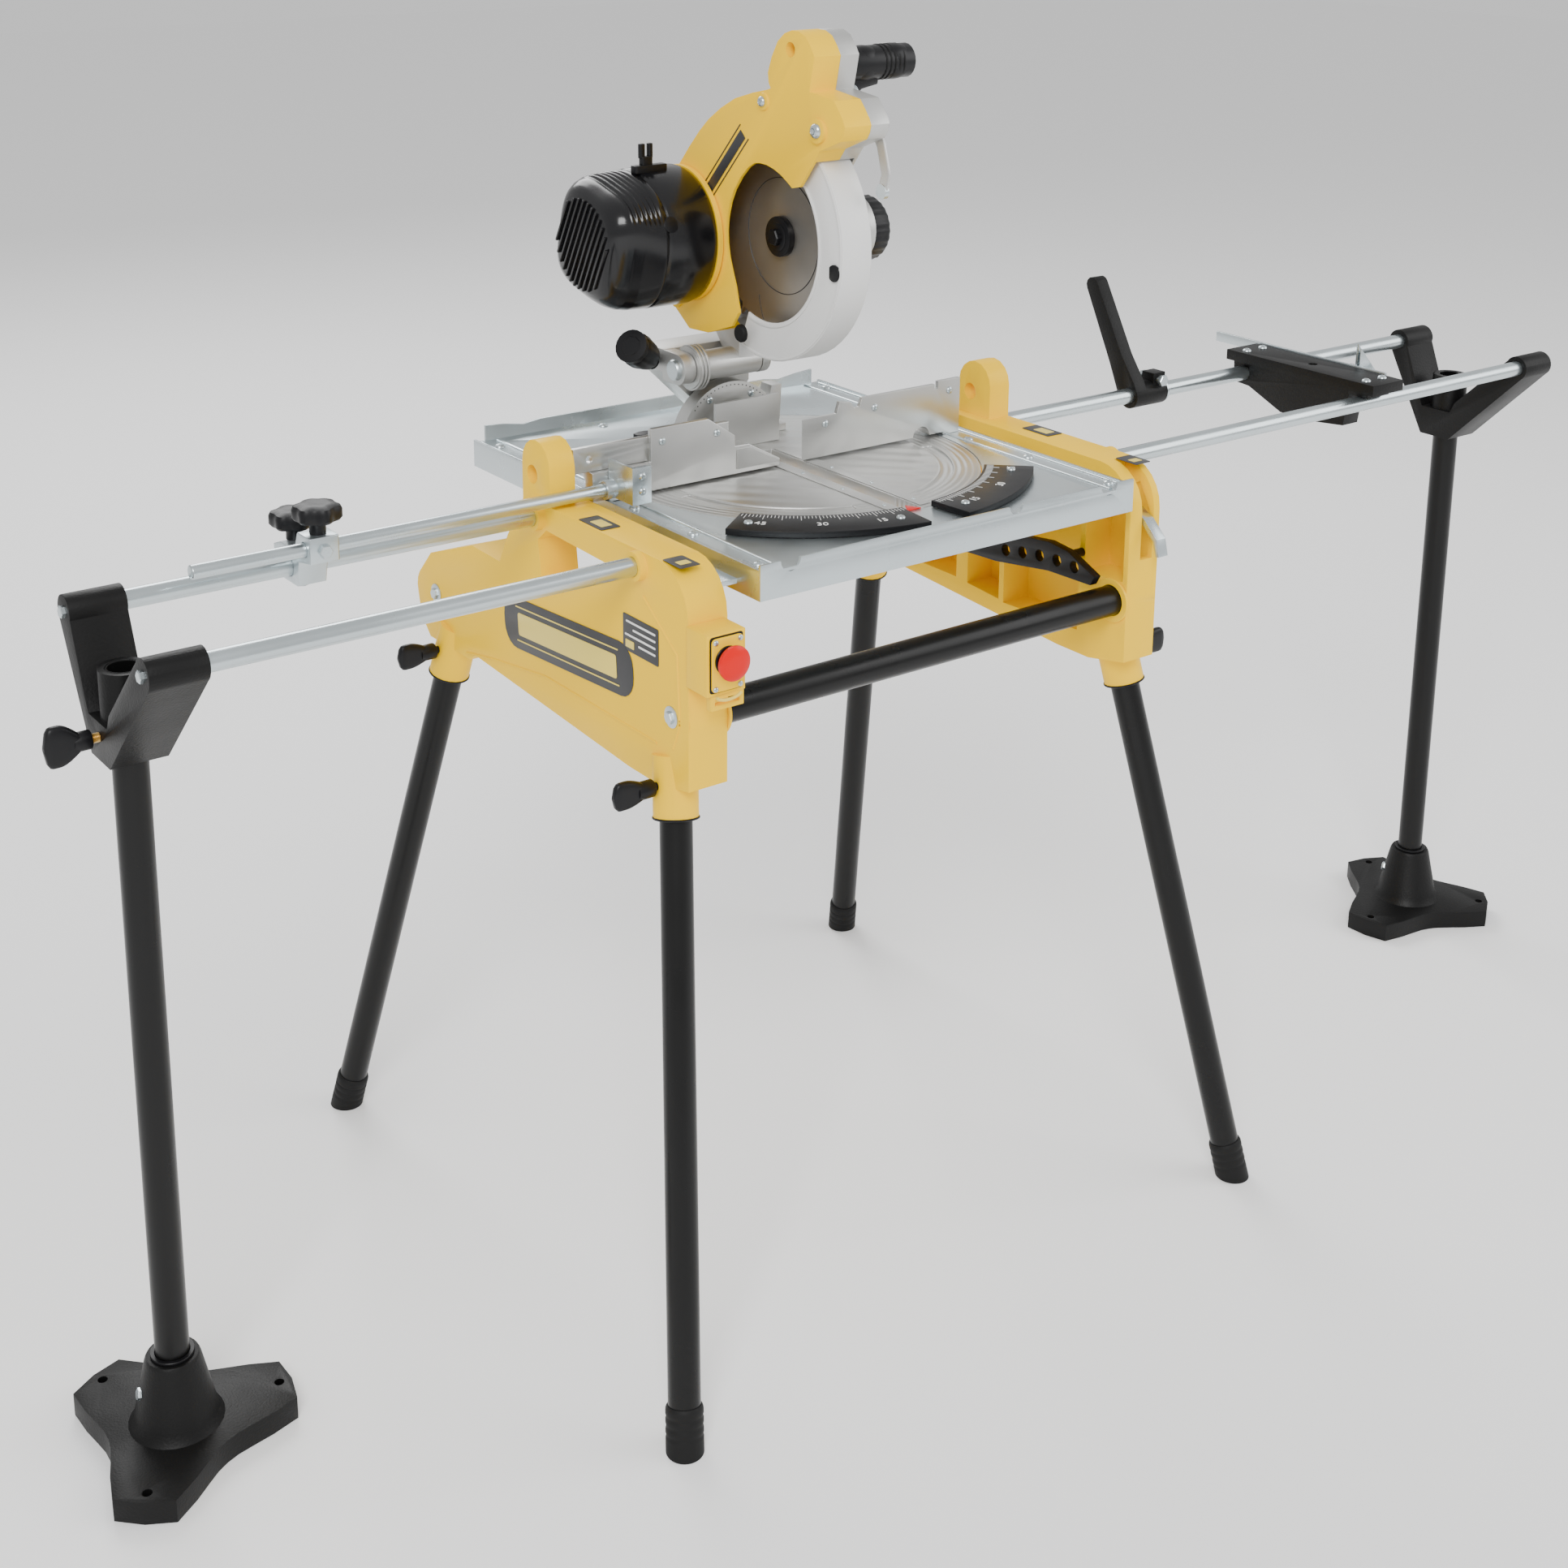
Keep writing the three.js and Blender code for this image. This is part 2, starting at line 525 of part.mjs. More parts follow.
const MOTOR_START = -44;
const upperGuard = () => {
  const plate = prism('x', guardOutline(), GUARD.left, GUARD.split - GAP);
  const flange = motorRod(MOTOR_START, GUARD.left + GUARD.wall, 66);
  const boss = rod([GUARD.left - 4, -36, 1230], [GUARD.left + 1, -36, 1230], 13, 16);
  const hollow = cut(join(plate, flange, boss), bladeRoom(GUARD.left + GUARD.wall, 50));
  return cut(hollow, motorRod(-90, 20, 12, 20), neckHole());
};
add('upper_guard', upperGuard(), YELLOW);

const BARREL = { left: -60, right: 30, radius: 17, flange: 24 };
const headCasting = () => {
  const plate = prism('x', guardOutline(), GUARD.split, GUARD.right);
  const shell = cut(plate, bladeRoom(-50, GUARD.right - GUARD.wall));
  const barrel = rod([BARREL.left, CHOP.y, CHOP.z], [BARREL.right, CHOP.y, CHOP.z], BARREL.radius, 24);
  const collar = rod([BARREL.left, CHOP.y, CHOP.z], [BARREL.left + 12, CHOP.y, CHOP.z], BARREL.flange, 20);
  const strut = prism('x', [[152, 946], [180, 950], [206, 984], [214, 1004], [160, 1004], [150, 976]],
    GUARD.split, GUARD.right);
  const bore = rod([-90, CHOP.y, CHOP.z], [90, CHOP.y, CHOP.z], EARS.pin + GAP, 16);
  return cut(join(shell, barrel, collar, strut), bore, motorRod(-50, 60, 12, 20), bladeRod(5, 60, 10), neckHole());
};
add('head_casting', headCasting(), ALUMINIUM);

// Round motor body with a domed end.
const motorHousing = () => {
  const start = MOTOR_START - GAP;
  const profile = [
    [66, start], [76, start], [MOTOR.radius, -52], [MOTOR.radius, -106], [76, -132], [71, -150],
    [65, -162], [57, -169], [48, MOTOR.end], [0, MOTOR.end], [0, -166], [44, -164], [56, -152],
    [66, -126], [66, start],
  ];
  return turned('x', [0, MOTOR.y, MOTOR.z], profile.reverse(), 32);
};
add('motor_housing', motorHousing(), BLACK_PLASTIC);

const PULLEYS = { x0: 30, x1: 44, motor: 17, blade: 26 };
const armature = () => join(
  motorRod(-160, 50, 8, 14),
  motorRod(-126, -62, 34, 24),
  motorRod(PULLEYS.x0, PULLEYS.x1, PULLEYS.motor, 20));
add('motor_armature', armature(), STEEL);

// Belt cover from the motor shaft to the blade spindle, with a long round boss.
const DRIVE = { x0: GUARD.right + GAP, x1: 60, boss: 98, wall: 4, cap: 124 };
const driveCover = () => {
  const stadium = (motorRadius, bladeRadius, x0, x1) => {
    const outline = [
      ...arc(BLADE.y, BLADE.z, bladeRadius, 90, 270, 12),
      ...arc(MOTOR.y, MOTOR.z, motorRadius, 270, 450, 12),
    ];
    return prism('x', outline, x0, x1);
  };
  const shell = cut(stadium(46, 43, DRIVE.x0, DRIVE.x1), stadium(42, 39, DRIVE.x0 - 5, DRIVE.x1 - DRIVE.wall));
  const boss = bladeRod(DRIVE.x1 - DRIVE.wall, DRIVE.boss, 38, 28);
  return cut(join(shell, boss), bladeRod(DRIVE.x1 - 10, DRIVE.boss - DRIVE.wall, 33, 28));
};
add('drive_cover', driveCover(), ALUMINIUM);

const driveCap = () => turned('x', [0, BLADE.y, BLADE.z - 2], [
  [0, DRIVE.boss + GAP], [36, DRIVE.boss + GAP], [36, DRIVE.cap - 6], [30, DRIVE.cap - 1],
  [12, DRIVE.cap], [0, DRIVE.cap]], 24);
add('drive_cap', driveCap(), BLACK_PLASTIC);

// Grip across the neck, to the right, with its trigger below.
const GRIP = { y: 22, z: 1288, start: GUARD.right + GAP, end: 124, radius: 18.5 };
const grip = () => {
  const bar = rod([GRIP.start, GRIP.y, GRIP.z], [GRIP.end, GRIP.y, GRIP.z], GRIP.radius, 20);
  const tail = prism('x', [[8, 1230], [30, 1230], [38, 1278], [8, 1278]], GRIP.start, GRIP.start + 9);
  const room = box(GRIP.start + 14, GRIP.start + 64, GRIP.y - 6.5, GRIP.y + 6.5, GRIP.z - 30, GRIP.z - 6);
  return cut(join(bar, tail), room);
};
add('grip', grip(), BLACK_PLASTIC);

const trigger = () => prism('y', [
  [GRIP.start + 18, GRIP.z - 9], [GRIP.start + 16, GRIP.z - 22], [GRIP.start + 14, GRIP.z - 44],
  [GRIP.start + 24, GRIP.z - 42], [GRIP.start + 38, GRIP.z - 27], [GRIP.start + 60, GRIP.z - 23],
  [GRIP.start + 62, GRIP.z - 9],
], GRIP.y - 6, GRIP.y + 6);
add('trigger', trigger(), BLACK_PLASTIC);

// ---------------------------------------------------------------- blade and lower guard

const TEETH = 30;
const bladeOutline = () => {
  const points = [];
  for (let i = 0; i < TEETH; i += 1) {
    const angle = 360 * i / TEETH;
    points.push(...arc(BLADE.y, BLADE.z, BLADE.radius, angle, angle + 1, 1));
    points.push(...arc(BLADE.y, BLADE.z, BLADE.radius - 6, angle + 3, angle + 4, 1));
  }
  return points;
};
const blade = () => {
  const half = BLADE.thick / 2;
  return prism('x', bladeOutline(), -half, half, [arc(BLADE.y, BLADE.z, 8, 0, 345, 15)]);
};
add('blade', blade(), STEEL);

// Spindle through the blade's hole, with both flanges, the bolt head and the driven pulley.
const spindle = () => {
  const face = BLADE.thick / 2 + GAP;
  return join(
    bladeRod(-face - 7, -face, 22, 28),
    bladeRod(-face - 13, -face - 6, 9, 6),
    bladeRod(-face - 1, 52, 8 - GAP, 14),
    bladeRod(face, face + 7, 21, 28),
    bladeRod(PULLEYS.x0, PULLEYS.x1, PULLEYS.blade, 24));
};
add('spindle', spindle(), BLACK_PLASTIC);

const LOWER = { left: -24, right: 14.5, outer: 134, ring: 92, from: 130, to: 290 };
const lowerGuard = () => {
  const sector = (inner, outer, x0, x1) =>
    prism('x', ringSector(BLADE.y, BLADE.z, inner, outer, LOWER.from, LOWER.to, 24), x0, x1);
  const near = sector(LOWER.ring, LOWER.outer, LOWER.left, LOWER.left + 2.5);
  const rim = sector(LOWER.outer - 3, LOWER.outer, LOWER.left, LOWER.right);
  const far = sector(24, LOWER.outer, LOWER.right - 2.5, LOWER.right);
  const hub = bladeRod(LOWER.right - 2.5, LOWER.right + 2, 34, 28);
  return cut(join(near, rim, far, hub), bladeRod(LOWER.right - 8, LOWER.right + 8, 23));
};
add('lower_guard', lowerGuard(), GUARD_GREY);

// ---------------------------------------------------------------- release lever

const releaseLever = () => {
  const path = [
    [-164, 803], [-164, 809], [-187, 809], [-207, 799], [-226, 781], [-231, 762], [-226, 761],
    [-221, 777], [-203, 793], [-186, 803],
  ];
  const { x, half, y, z } = LATCH;
  return join(
    prism('x', path, x - half, x + half),
    rod([x - half - 1.7, y, z], [x + half + 1.7, y, z], 6, 16));
};
add('release_lever', releaseLever(), ZINC);

// Perforated push stick that hangs inside the right casting on two pegs.
const pushStick = () => {
  const outline = [
    [66, 704], [62, 716], [20, 727], [-49, 749], [-108, 756], [-139, 753], [-182, 735], [-176, 724],
    [-109, 722], [-22, 709],
  ];
  const blank = prism('x', outline, 240, 250);
  const holes = [[-150, 738], [-122, 738], [-94, 736], [-66, 732], [-38, 727]]
    .map(([y, z]) => rod([230, y, z], [260, y, z], 7, 12));
  const peg = (y, z) => rod([245, y, z], [CASTING_INNER - GAP, y, z], 5, 12);
  return join(cut(blank, ...holes), peg(2, 721), peg(-134, 746));
};
add('push_stick', pushStick(), BLACK_PLASTIC);

// ---------------------------------------------------------------- rails, brackets, posts

const rail = (x0, x1, y) => tube([x0, y, RAIL_Z], [x1, y, RAIL_Z], RAIL_RADIUS, RAIL_WALL, 20);
const railStart = CASTING_INNER + 9;
const RAILS = { rear: RAIL_REAR, front: RAIL_FRONT };
for (const [name, y] of Object.entries(RAILS)) {
  add(`rail_${name}_left`, rail(POST_LEFT - 21, sideX(-1, railStart), y), ZINC);
  add(`rail_${name}_right`, rail(sideX(1, railStart), POST_RIGHT + 20, y), ZINC);
}

// V-shaped casting: two arms from a socket for the post up to the rails.
const bracket = (x) => {
  const outline = [
    ...arc(RAIL_FRONT, RAIL_Z, 16, 215, 60, 6),
    [-30, 775], [-23, 760], [23, 760], [30, 775],
    ...arc(RAIL_REAR, RAIL_Z, 16, 120, -35, 6),
    [22, 722], [-24, 722],
  ];
  const plate = prism('x', outline, x - BRACKET_HALF, x + BRACKET_HALF);
  const socket = rod([x, 0, 722], [x, 0, POST_TOP], 23, 28);
  const cap = (y) => rod([x - BRACKET_HALF, y, RAIL_Z], [x + BRACKET_HALF, y, RAIL_Z], 16, 24);
  const inward = x < 0 ? 1 : -1;
  const railRoom = (y) =>
    rod([x - inward * 22, y, RAIL_Z], [x + inward * 60, y, RAIL_Z], RAIL_RADIUS + GAP, 20);
  const bore = rod([x, 0, 650], [x, 0, 850], POST_RADIUS + GAP, 28);
  const screwHole = rod([x, 0, POST_SCREW_Z], [x - inward * 40, 0, POST_SCREW_Z], 5, 12);
  return cut(join(plate, socket, cap(RAIL_REAR), cap(RAIL_FRONT)),
    railRoom(RAIL_REAR), railRoom(RAIL_FRONT), bore, screwHole);
};
add('bracket_left', bracket(POST_LEFT), BLACK_CASTING);
add('bracket_right', bracket(POST_RIGHT), BLACK_CASTING);

const POST_FOOT = 30;
const post = (x) => tube([x, 0, POST_FOOT], [x, 0, POST_TOP], POST_RADIUS, 1.8, 28);
add('post_left', post(POST_LEFT), BLACK_PAINT);
add('post_right', post(POST_RIGHT), BLACK_PAINT);

// Three-toed base with a cone for the post.
const postBase = (x, firstToe) => {
  const outline = [];
  for (let i = 0; i < 3; i += 1) {
    const angle = firstToe + 120 * i;
    outline.push(...arc(0, 0, 115, angle - 15, angle + 15, 2));
    for (let step = 1; step < 8; step += 1) {
      const turn = 15 + (90 * step) / 8;
      const radius = 66 + 49 * (Math.abs(turn - 60) / 45) ** 2.2;
      outline.push(arc(0, 0, radius, angle + turn, angle + turn, 1)[0]);
    }
  }
  const plate = prism('z', outline.map(([u, v]) => [u + x, v]), 0, 24);
  const cone = turned('z', [x, 0, 0], [[0, 2], [46, 2], [46, 24], [40, 34], [27, BASE_HEIGHT - 4],
    [25, BASE_HEIGHT], [0, BASE_HEIGHT]]);
  const bore = rod([x, 0, POST_FOOT - GAP], [x, 0, BASE_HEIGHT + 10], POST_RADIUS + GAP, 28);
  const holes = [0, 1, 2].map((i) => {
    const [[u, v]] = arc(x, 0, 102, firstToe + 120 * i, firstToe + 120 * i, 1);
    return rod([u, v, -5], [u, v, 40], 5, 12);
  });
  return cut(join(plate, cone), bore, ...holes);
};
add('base_left', postBase(POST_LEFT, 113), BLACK_CASTING);
add('base_right', postBase(POST_RIGHT, 70), BLACK_CASTING);

// Wing screw that clamps a post in its bracket, on the outer side.
const postScrew = (x) => {
  const out = Math.sign(x);
  const at = (s) => [x + out * (POST_RADIUS + s), 0, POST_SCREW_Z];
  const [x0, x1] = [x + out * (POST_RADIUS + 30), x + out * (POST_RADIUS + 60)].sort((a, b) => a - b);
  return join(rod(at(0.8), at(30), 4.5, 12), rod(at(18), at(34), 9, 16),
    box(x0, x1, -7, 7, POST_SCREW_Z - 20, POST_SCREW_Z + 20));
};
add('post_screw_left', postScrew(POST_LEFT), BLACK_PLASTIC);
add('post_screw_right', postScrew(POST_RIGHT), BLACK_PLASTIC);

// ---------------------------------------------------------------- length stop, on the rear left rail

const stopRodSolid = (x0, x1, radius) =>
  rod([x0, STOP_ROD.y, STOP_ROD.z], [x1, STOP_ROD.y, STOP_ROD.z], radius, 20);
add('stop_rod', stopRodSolid(STOP_ROD.x0, STOP_ROD.x1, STOP_ROD.radius), ZINC);

// Angle plate at the rod's end that the work is pushed against.
const stopPlate = () => {
  const side = box(-244, -241, 0, 43, TABLE_TOP + 8.5, TABLE_TOP + 48);
  const front = box(-244, -221, -3, 0.5, TABLE_TOP + 8.5, TABLE_TOP + 48);
  const collar = stopRodSolid(-256, -242, 10);
  const room = stopRodSolid(-260, STOP_ROD.x1 + GAP, STOP_ROD.radius + GAP);
  return cut(join(side, front, collar), room);
};
add('stop_plate', stopPlate(), ZINC);

const stopClamp = () => {
  const x = STOP_CLAMP_X;
  const body = prism('x', [
    [20, 856], [20, 882], [48, 882], [56, 862], [88, 862], [104, 856], [104, 848], [88, 826], [52, 826], [46, 852],
  ], x - 15, x + 15);
  const railRoom = rod([x - 60, RAIL_REAR, RAIL_Z], [x + 60, RAIL_REAR, RAIL_Z], RAIL_RADIUS + GAP, 20);
  return cut(body, railRoom, stopRodSolid(x - 60, x + 60, STOP_ROD.radius + GAP));
};
add('stop_clamp', stopClamp(), ZINC);

// Six-lobed knob on a short stem.
const stopKnob = (x, y, z) => {
  const lobes = [];
  for (let i = 0; i < 24; i += 1) {
    lobes.push(arc(x, y, i % 4 < 2 ? 24 : 20.5, 15 * i, 15 * i, 1)[0]);
  }
  return join(rod([x, y, z], [x, y, z + 16], 8, 16), prism('z', lobes, z + 12, z + 30));
};
add('stop_knob_rod', stopKnob(STOP_CLAMP_X, STOP_ROD.y, 882 + GAP), BLACK_PLASTIC);
add('stop_knob_rail', stopKnob(STOP_CLAMP_X, 88, 862 + GAP), BLACK_PLASTIC);

// ---------------------------------------------------------------- swivel stop, on the rear right rail

const ARM = { length: 158, lean: 60.8 };
const swivelArm = () => {
  const lean = THREE.MathUtils.degToRad(ARM.lean);
  const [c, s] = [Math.cos(lean), Math.sin(lean)];
  const place = ([u, v]) => [RAIL_REAR + u * c - v * s, RAIL_Z + u * s + v * c];
  const outline = [
    [0, 16], [12, 16], [50, 11], [ARM.length - 9, 10],
    ...arc(ARM.length - 10, 0, 10, 90, -90, 6).slice(1),
    [50, -13], [12, -16], [0, -16],
  ].map(place);
  const along = (x0, x1, radius) => rod([x0, RAIL_REAR, RAIL_Z], [x1, RAIL_REAR, RAIL_Z], radius, 24);
  const ears = box(SWIVEL_X + 24, SWIVEL_X + 44, 60, 80, RAIL_Z + 8, RAIL_Z + 26);
  return cut(
    join(along(SWIVEL_X - 9, SWIVEL_X + 45, 16), ears, prism('x', outline, SWIVEL_X - 9, SWIVEL_X + 9)),
    along(SWIVEL_X - 30, SWIVEL_X + 70, RAIL_RADIUS + GAP));
};
add('swivel_stop', swivelArm(), BLACK_CASTING);

// ---------------------------------------------------------------- work support, across the right rails

const supportBar = () => {
  const x = SUPPORT_X;
  const bar = box(x - 28.5, x + 28.5, -150, 88, 859, 872);
  const gusset = prism('x', [[88, 860], [86, 828], [60, 826], [5, 803], [-51, 803], [-96, 808], [-104, 860]], x - 14, x + 14);
  const pad = box(x - 20, x + 20, -136, -106, RAIL_Z + RAIL_RADIUS + GAP, 860);
  const room = rod([x - 60, RAIL_REAR, RAIL_Z], [x + 60, RAIL_REAR, RAIL_Z], RAIL_RADIUS + GAP, 20);
  const hole = rod([x, -31, 780], [x, -31, 900], 6, 16);
  return cut(join(bar, gusset, pad), room, hole);
};
add('support_bar', supportBar(), BLACK_CASTING);

// ---------------------------------------------------------------- placing

const bounds = new THREE.Box3().setFromObject(saw);
const middle = bounds.getCenter(new THREE.Vector3());
saw.position.set(-middle.x, -middle.y, -bounds.min.z);

export default saw;
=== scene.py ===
"""Finished look of a mitre saw on its leg stand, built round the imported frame."""

import json
import math

import bmesh
import bpy
import numpy as np
from mathutils import Matrix, Vector

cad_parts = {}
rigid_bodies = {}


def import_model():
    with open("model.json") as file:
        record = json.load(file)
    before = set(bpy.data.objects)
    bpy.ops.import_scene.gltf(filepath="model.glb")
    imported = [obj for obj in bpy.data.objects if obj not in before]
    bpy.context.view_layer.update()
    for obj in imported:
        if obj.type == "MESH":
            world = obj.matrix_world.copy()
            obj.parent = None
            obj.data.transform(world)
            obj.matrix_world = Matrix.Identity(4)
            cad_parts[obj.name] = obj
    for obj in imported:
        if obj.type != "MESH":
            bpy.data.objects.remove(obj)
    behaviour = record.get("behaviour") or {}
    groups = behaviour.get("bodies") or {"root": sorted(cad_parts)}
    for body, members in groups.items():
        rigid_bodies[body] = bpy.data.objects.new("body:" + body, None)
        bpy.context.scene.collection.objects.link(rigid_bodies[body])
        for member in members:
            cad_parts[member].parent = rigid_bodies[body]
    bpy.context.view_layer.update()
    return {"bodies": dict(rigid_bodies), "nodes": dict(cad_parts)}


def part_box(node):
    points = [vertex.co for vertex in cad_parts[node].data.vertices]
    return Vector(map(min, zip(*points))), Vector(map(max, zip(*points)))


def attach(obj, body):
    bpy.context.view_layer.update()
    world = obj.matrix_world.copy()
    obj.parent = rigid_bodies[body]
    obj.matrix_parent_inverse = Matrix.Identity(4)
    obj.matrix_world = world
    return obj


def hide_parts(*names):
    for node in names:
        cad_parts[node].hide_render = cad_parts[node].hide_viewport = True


bl_info = {
    "name": "Mitre saw on stand",
    "version": (1, 0, 0),
    "blender": (4, 2, 0),
    "location": "3D View > Sidebar > Saw",
    "description": "Builds the finished pieces of a mitre saw on its leg stand",
    "category": "Object",
}

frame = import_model()


def node_box(node):
    """Lowest and highest corner of a frame node, in millimetres."""
    return np.array(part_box(node)) * 1000


# Lengths are in millimetres from the blade line, the mitre line and the floor, as on the machine.
DECK_MIDDLE_Y = 49.0
SHIFT = np.array([node_box("cross_tube")[:, 0].mean(), node_box("deck")[:, 1].mean() - DECK_MIDDLE_Y, 0.0])
TABLE = 850.0
SCALE_TOP = 857
MITRE_Y = 48
BLADE = np.array([0.0, 71.0, 1101.0])
MOTOR = np.array([0.0, 207.0, 1088.0])
CASTING_FACE = 313.0
RAILS = {"rear": 70, "front": -121}
RAIL_Z = 842
POSTS = {"left": -779, "right": 1090}
CROSS_TUBE = (-184, 704)
ARM_AXIS = (167, 943)
SIDES = ((-1, "left"), (1, "right"))
ENDS = ("front", "back")


# ------------------------------------------------------------------ sizes and colours

def colour_property(label, text, default):
    """A colour with its alpha, shown as a colour button."""
    return bpy.props.FloatVectorProperty(
        name=label, description=text, subtype="COLOR", size=4, min=0, max=1, default=default)


class SawFinishes(bpy.types.PropertyGroup):
    """Colours of the paints, metals and plastics."""

    yellow: colour_property("Yellow", "Enamel on the side castings and the guard", (1.0, 0.60, 0.0, 1))
    black: colour_property("Black", "Satin paint on the tubes", (0.004, 0.004, 0.004, 1))
    wrinkle: colour_property("Wrinkle black", "Textured paint on cast pieces", (0.004, 0.004, 0.004, 1))
    zinc: colour_property("Zinc", "Bright plate on sheet and rails", (0.56, 0.62, 0.64, 1))
    cast: colour_property("Cast metal", "Bare cast aluminium", (0.56, 0.56, 0.545, 1))
    steel: colour_property("Blade steel", "Ground steel of the blade", (0.34, 0.32, 0.29, 1))
    nylon: colour_property("Nylon", "Black moulded knobs and housings", (0.006, 0.006, 0.007, 1))
    grey: colour_property("Pale grey", "Moulded blade guard", (0.74, 0.74, 0.73, 1))
    red: colour_property("Red", "Stop button", (0.70, 0.0, 0.0, 1))
    label: colour_property("Label", "Plain plates and marks", (0.80, 0.80, 0.78, 1))
    floor: colour_property("Floor", "Stage floor", (0.97, 0.97, 0.97, 1))

def length_property(label, text, default, least=0):
    """A length in metres."""
    return bpy.props.FloatProperty(name=label, description=text, default=default, min=least, unit="LENGTH")


class SawSizes(bpy.types.PropertyGroup):
    """Small sizes of the finishing."""

    casting_edge: length_property("Casting edge", "Rounding on cast edges", 0.0022)
    sheet_edge: length_property("Sheet edge", "Rounding on sheet and machined edges", 0.0007)
    screw_radius: length_property("Screw head", "Radius of a dome screw head", 0.0048, 0.001)
    knob_lobes: bpy.props.IntProperty(
        name="Knob lobes", description="Lobes round a clamping knob", default=6, min=3)
    blade_teeth: bpy.props.IntProperty(
        name="Teeth", description="Teeth round the blade", default=48, min=12)


# ------------------------------------------------------------------ materials

def feed(tree, node, inputs):
    """Gives each input of a node its value, or links it to another node's output."""
    for key, value in inputs.items():
        if isinstance(value, bpy.types.NodeSocket):
            tree.links.new(value, node.inputs[key])
        else:
            node.inputs[key].default_value = value


def add(tree, kind, inputs, **settings):
    """A new shader node with its settings and its inputs."""
    node = tree.nodes.new("ShaderNode" + kind)
    for key, value in settings.items():
        setattr(node, key, value)
    feed(tree, node, inputs)
    return node


def mottled(name, colour, roughness, metallic=0.0, coat=0.0, grain=220.0, bump=0.05, spread=0.08,
            stretch=(1, 1, 1), depth=0.0002, shine=0.5):
    """One finish: a colour and a roughness that both drift with a broad noise, and a fine noise as relief.
    A stretch on one axis draws the fine noise out into brushed lines."""
    material = bpy.data.materials.new(name)
    material.use_nodes = True
    tree = material.node_tree
    place = add(tree, "TexCoord", {}).outputs["Object"]
    broad = add(tree, "TexNoise", {"Scale": 9.0, "Detail": 5.0, "Vector": place}).outputs["Fac"]
    dark = [c * (1 - spread) for c in colour[:3]] + [1]
    light = [min(1, c * (1 + spread)) for c in colour[:3]] + [1]
    tone = add(tree, "Mix", {}, data_type="RGBA")
    feed(tree, tone, {0: broad, 6: dark, 7: light})
    level = add(tree, "MapRange", {
        "From Min": 0.3, "From Max": 0.7, "To Min": max(0.05, roughness - 0.06), "To Max": roughness + 0.08,
        "Value": broad})
    scale = add(tree, "Mapping", {"Scale": stretch, "Vector": place})
    fine = add(tree, "TexNoise", {"Scale": grain, "Detail": 2.0, "Vector": scale.outputs["Vector"]})
    relief = add(tree, "Bump", {"Strength": bump, "Distance": depth, "Height": fine.outputs["Fac"]})
    feed(tree, tree.nodes["Principled BSDF"], {
        "Base Color": tone.outputs[2], "Roughness": level.outputs["Result"],
        "Normal": relief.outputs["Normal"], "Metallic": metallic,
        "Specular IOR Level": shine, "Coat Weight": coat, "Coat Roughness": 0.12})
    return material


def add_turned_rings(material):
    """Relief about the mitre line: slanting ribs inside, and outside them turned rings, a sine of the
    distance from the line."""
    tree = material.node_tree
    place = add(tree, "TexCoord", {}).outputs["Object"]
    offset = (-SHIFT[0] / 1000, -(SHIFT[1] + MITRE_Y) / 1000, 0)
    centre = add(tree, "Mapping", {"Location": offset, "Vector": place}).outputs["Vector"]
    rings, bands = [
        add(tree, "TexWave", {"Scale": scale, "Distortion": bend, "Vector": centre}, wave_type=kind,
            rings_direction="Z", bands_direction="DIAGONAL").outputs["Fac"]
        for kind, scale, bend in (("RINGS", 42.0, 0.0), ("BANDS", 16.0, 0.6))]
    flat = add(tree, "VectorMath", {0: centre, 1: (1, 1, 0)}, operation="MULTIPLY")
    reach = add(tree, "VectorMath", {0: flat.outputs["Vector"]}, operation="LENGTH")
    inside = add(tree, "Math", {0: reach.outputs["Value"], 1: 0.158}, operation="LESS_THAN")
    height = add(tree, "Mix", {0: inside.outputs["Value"], 2: rings, 3: bands})
    shader = tree.nodes["Principled BSDF"]
    grain = shader.inputs["Normal"].links[0].from_socket
    relief = add(tree, "Bump", {
        "Strength": 0.55, "Distance": 0.0012, "Height": height.outputs[0], "Normal": grain})
    feed(tree, shader, {"Normal": relief.outputs["Normal"]})


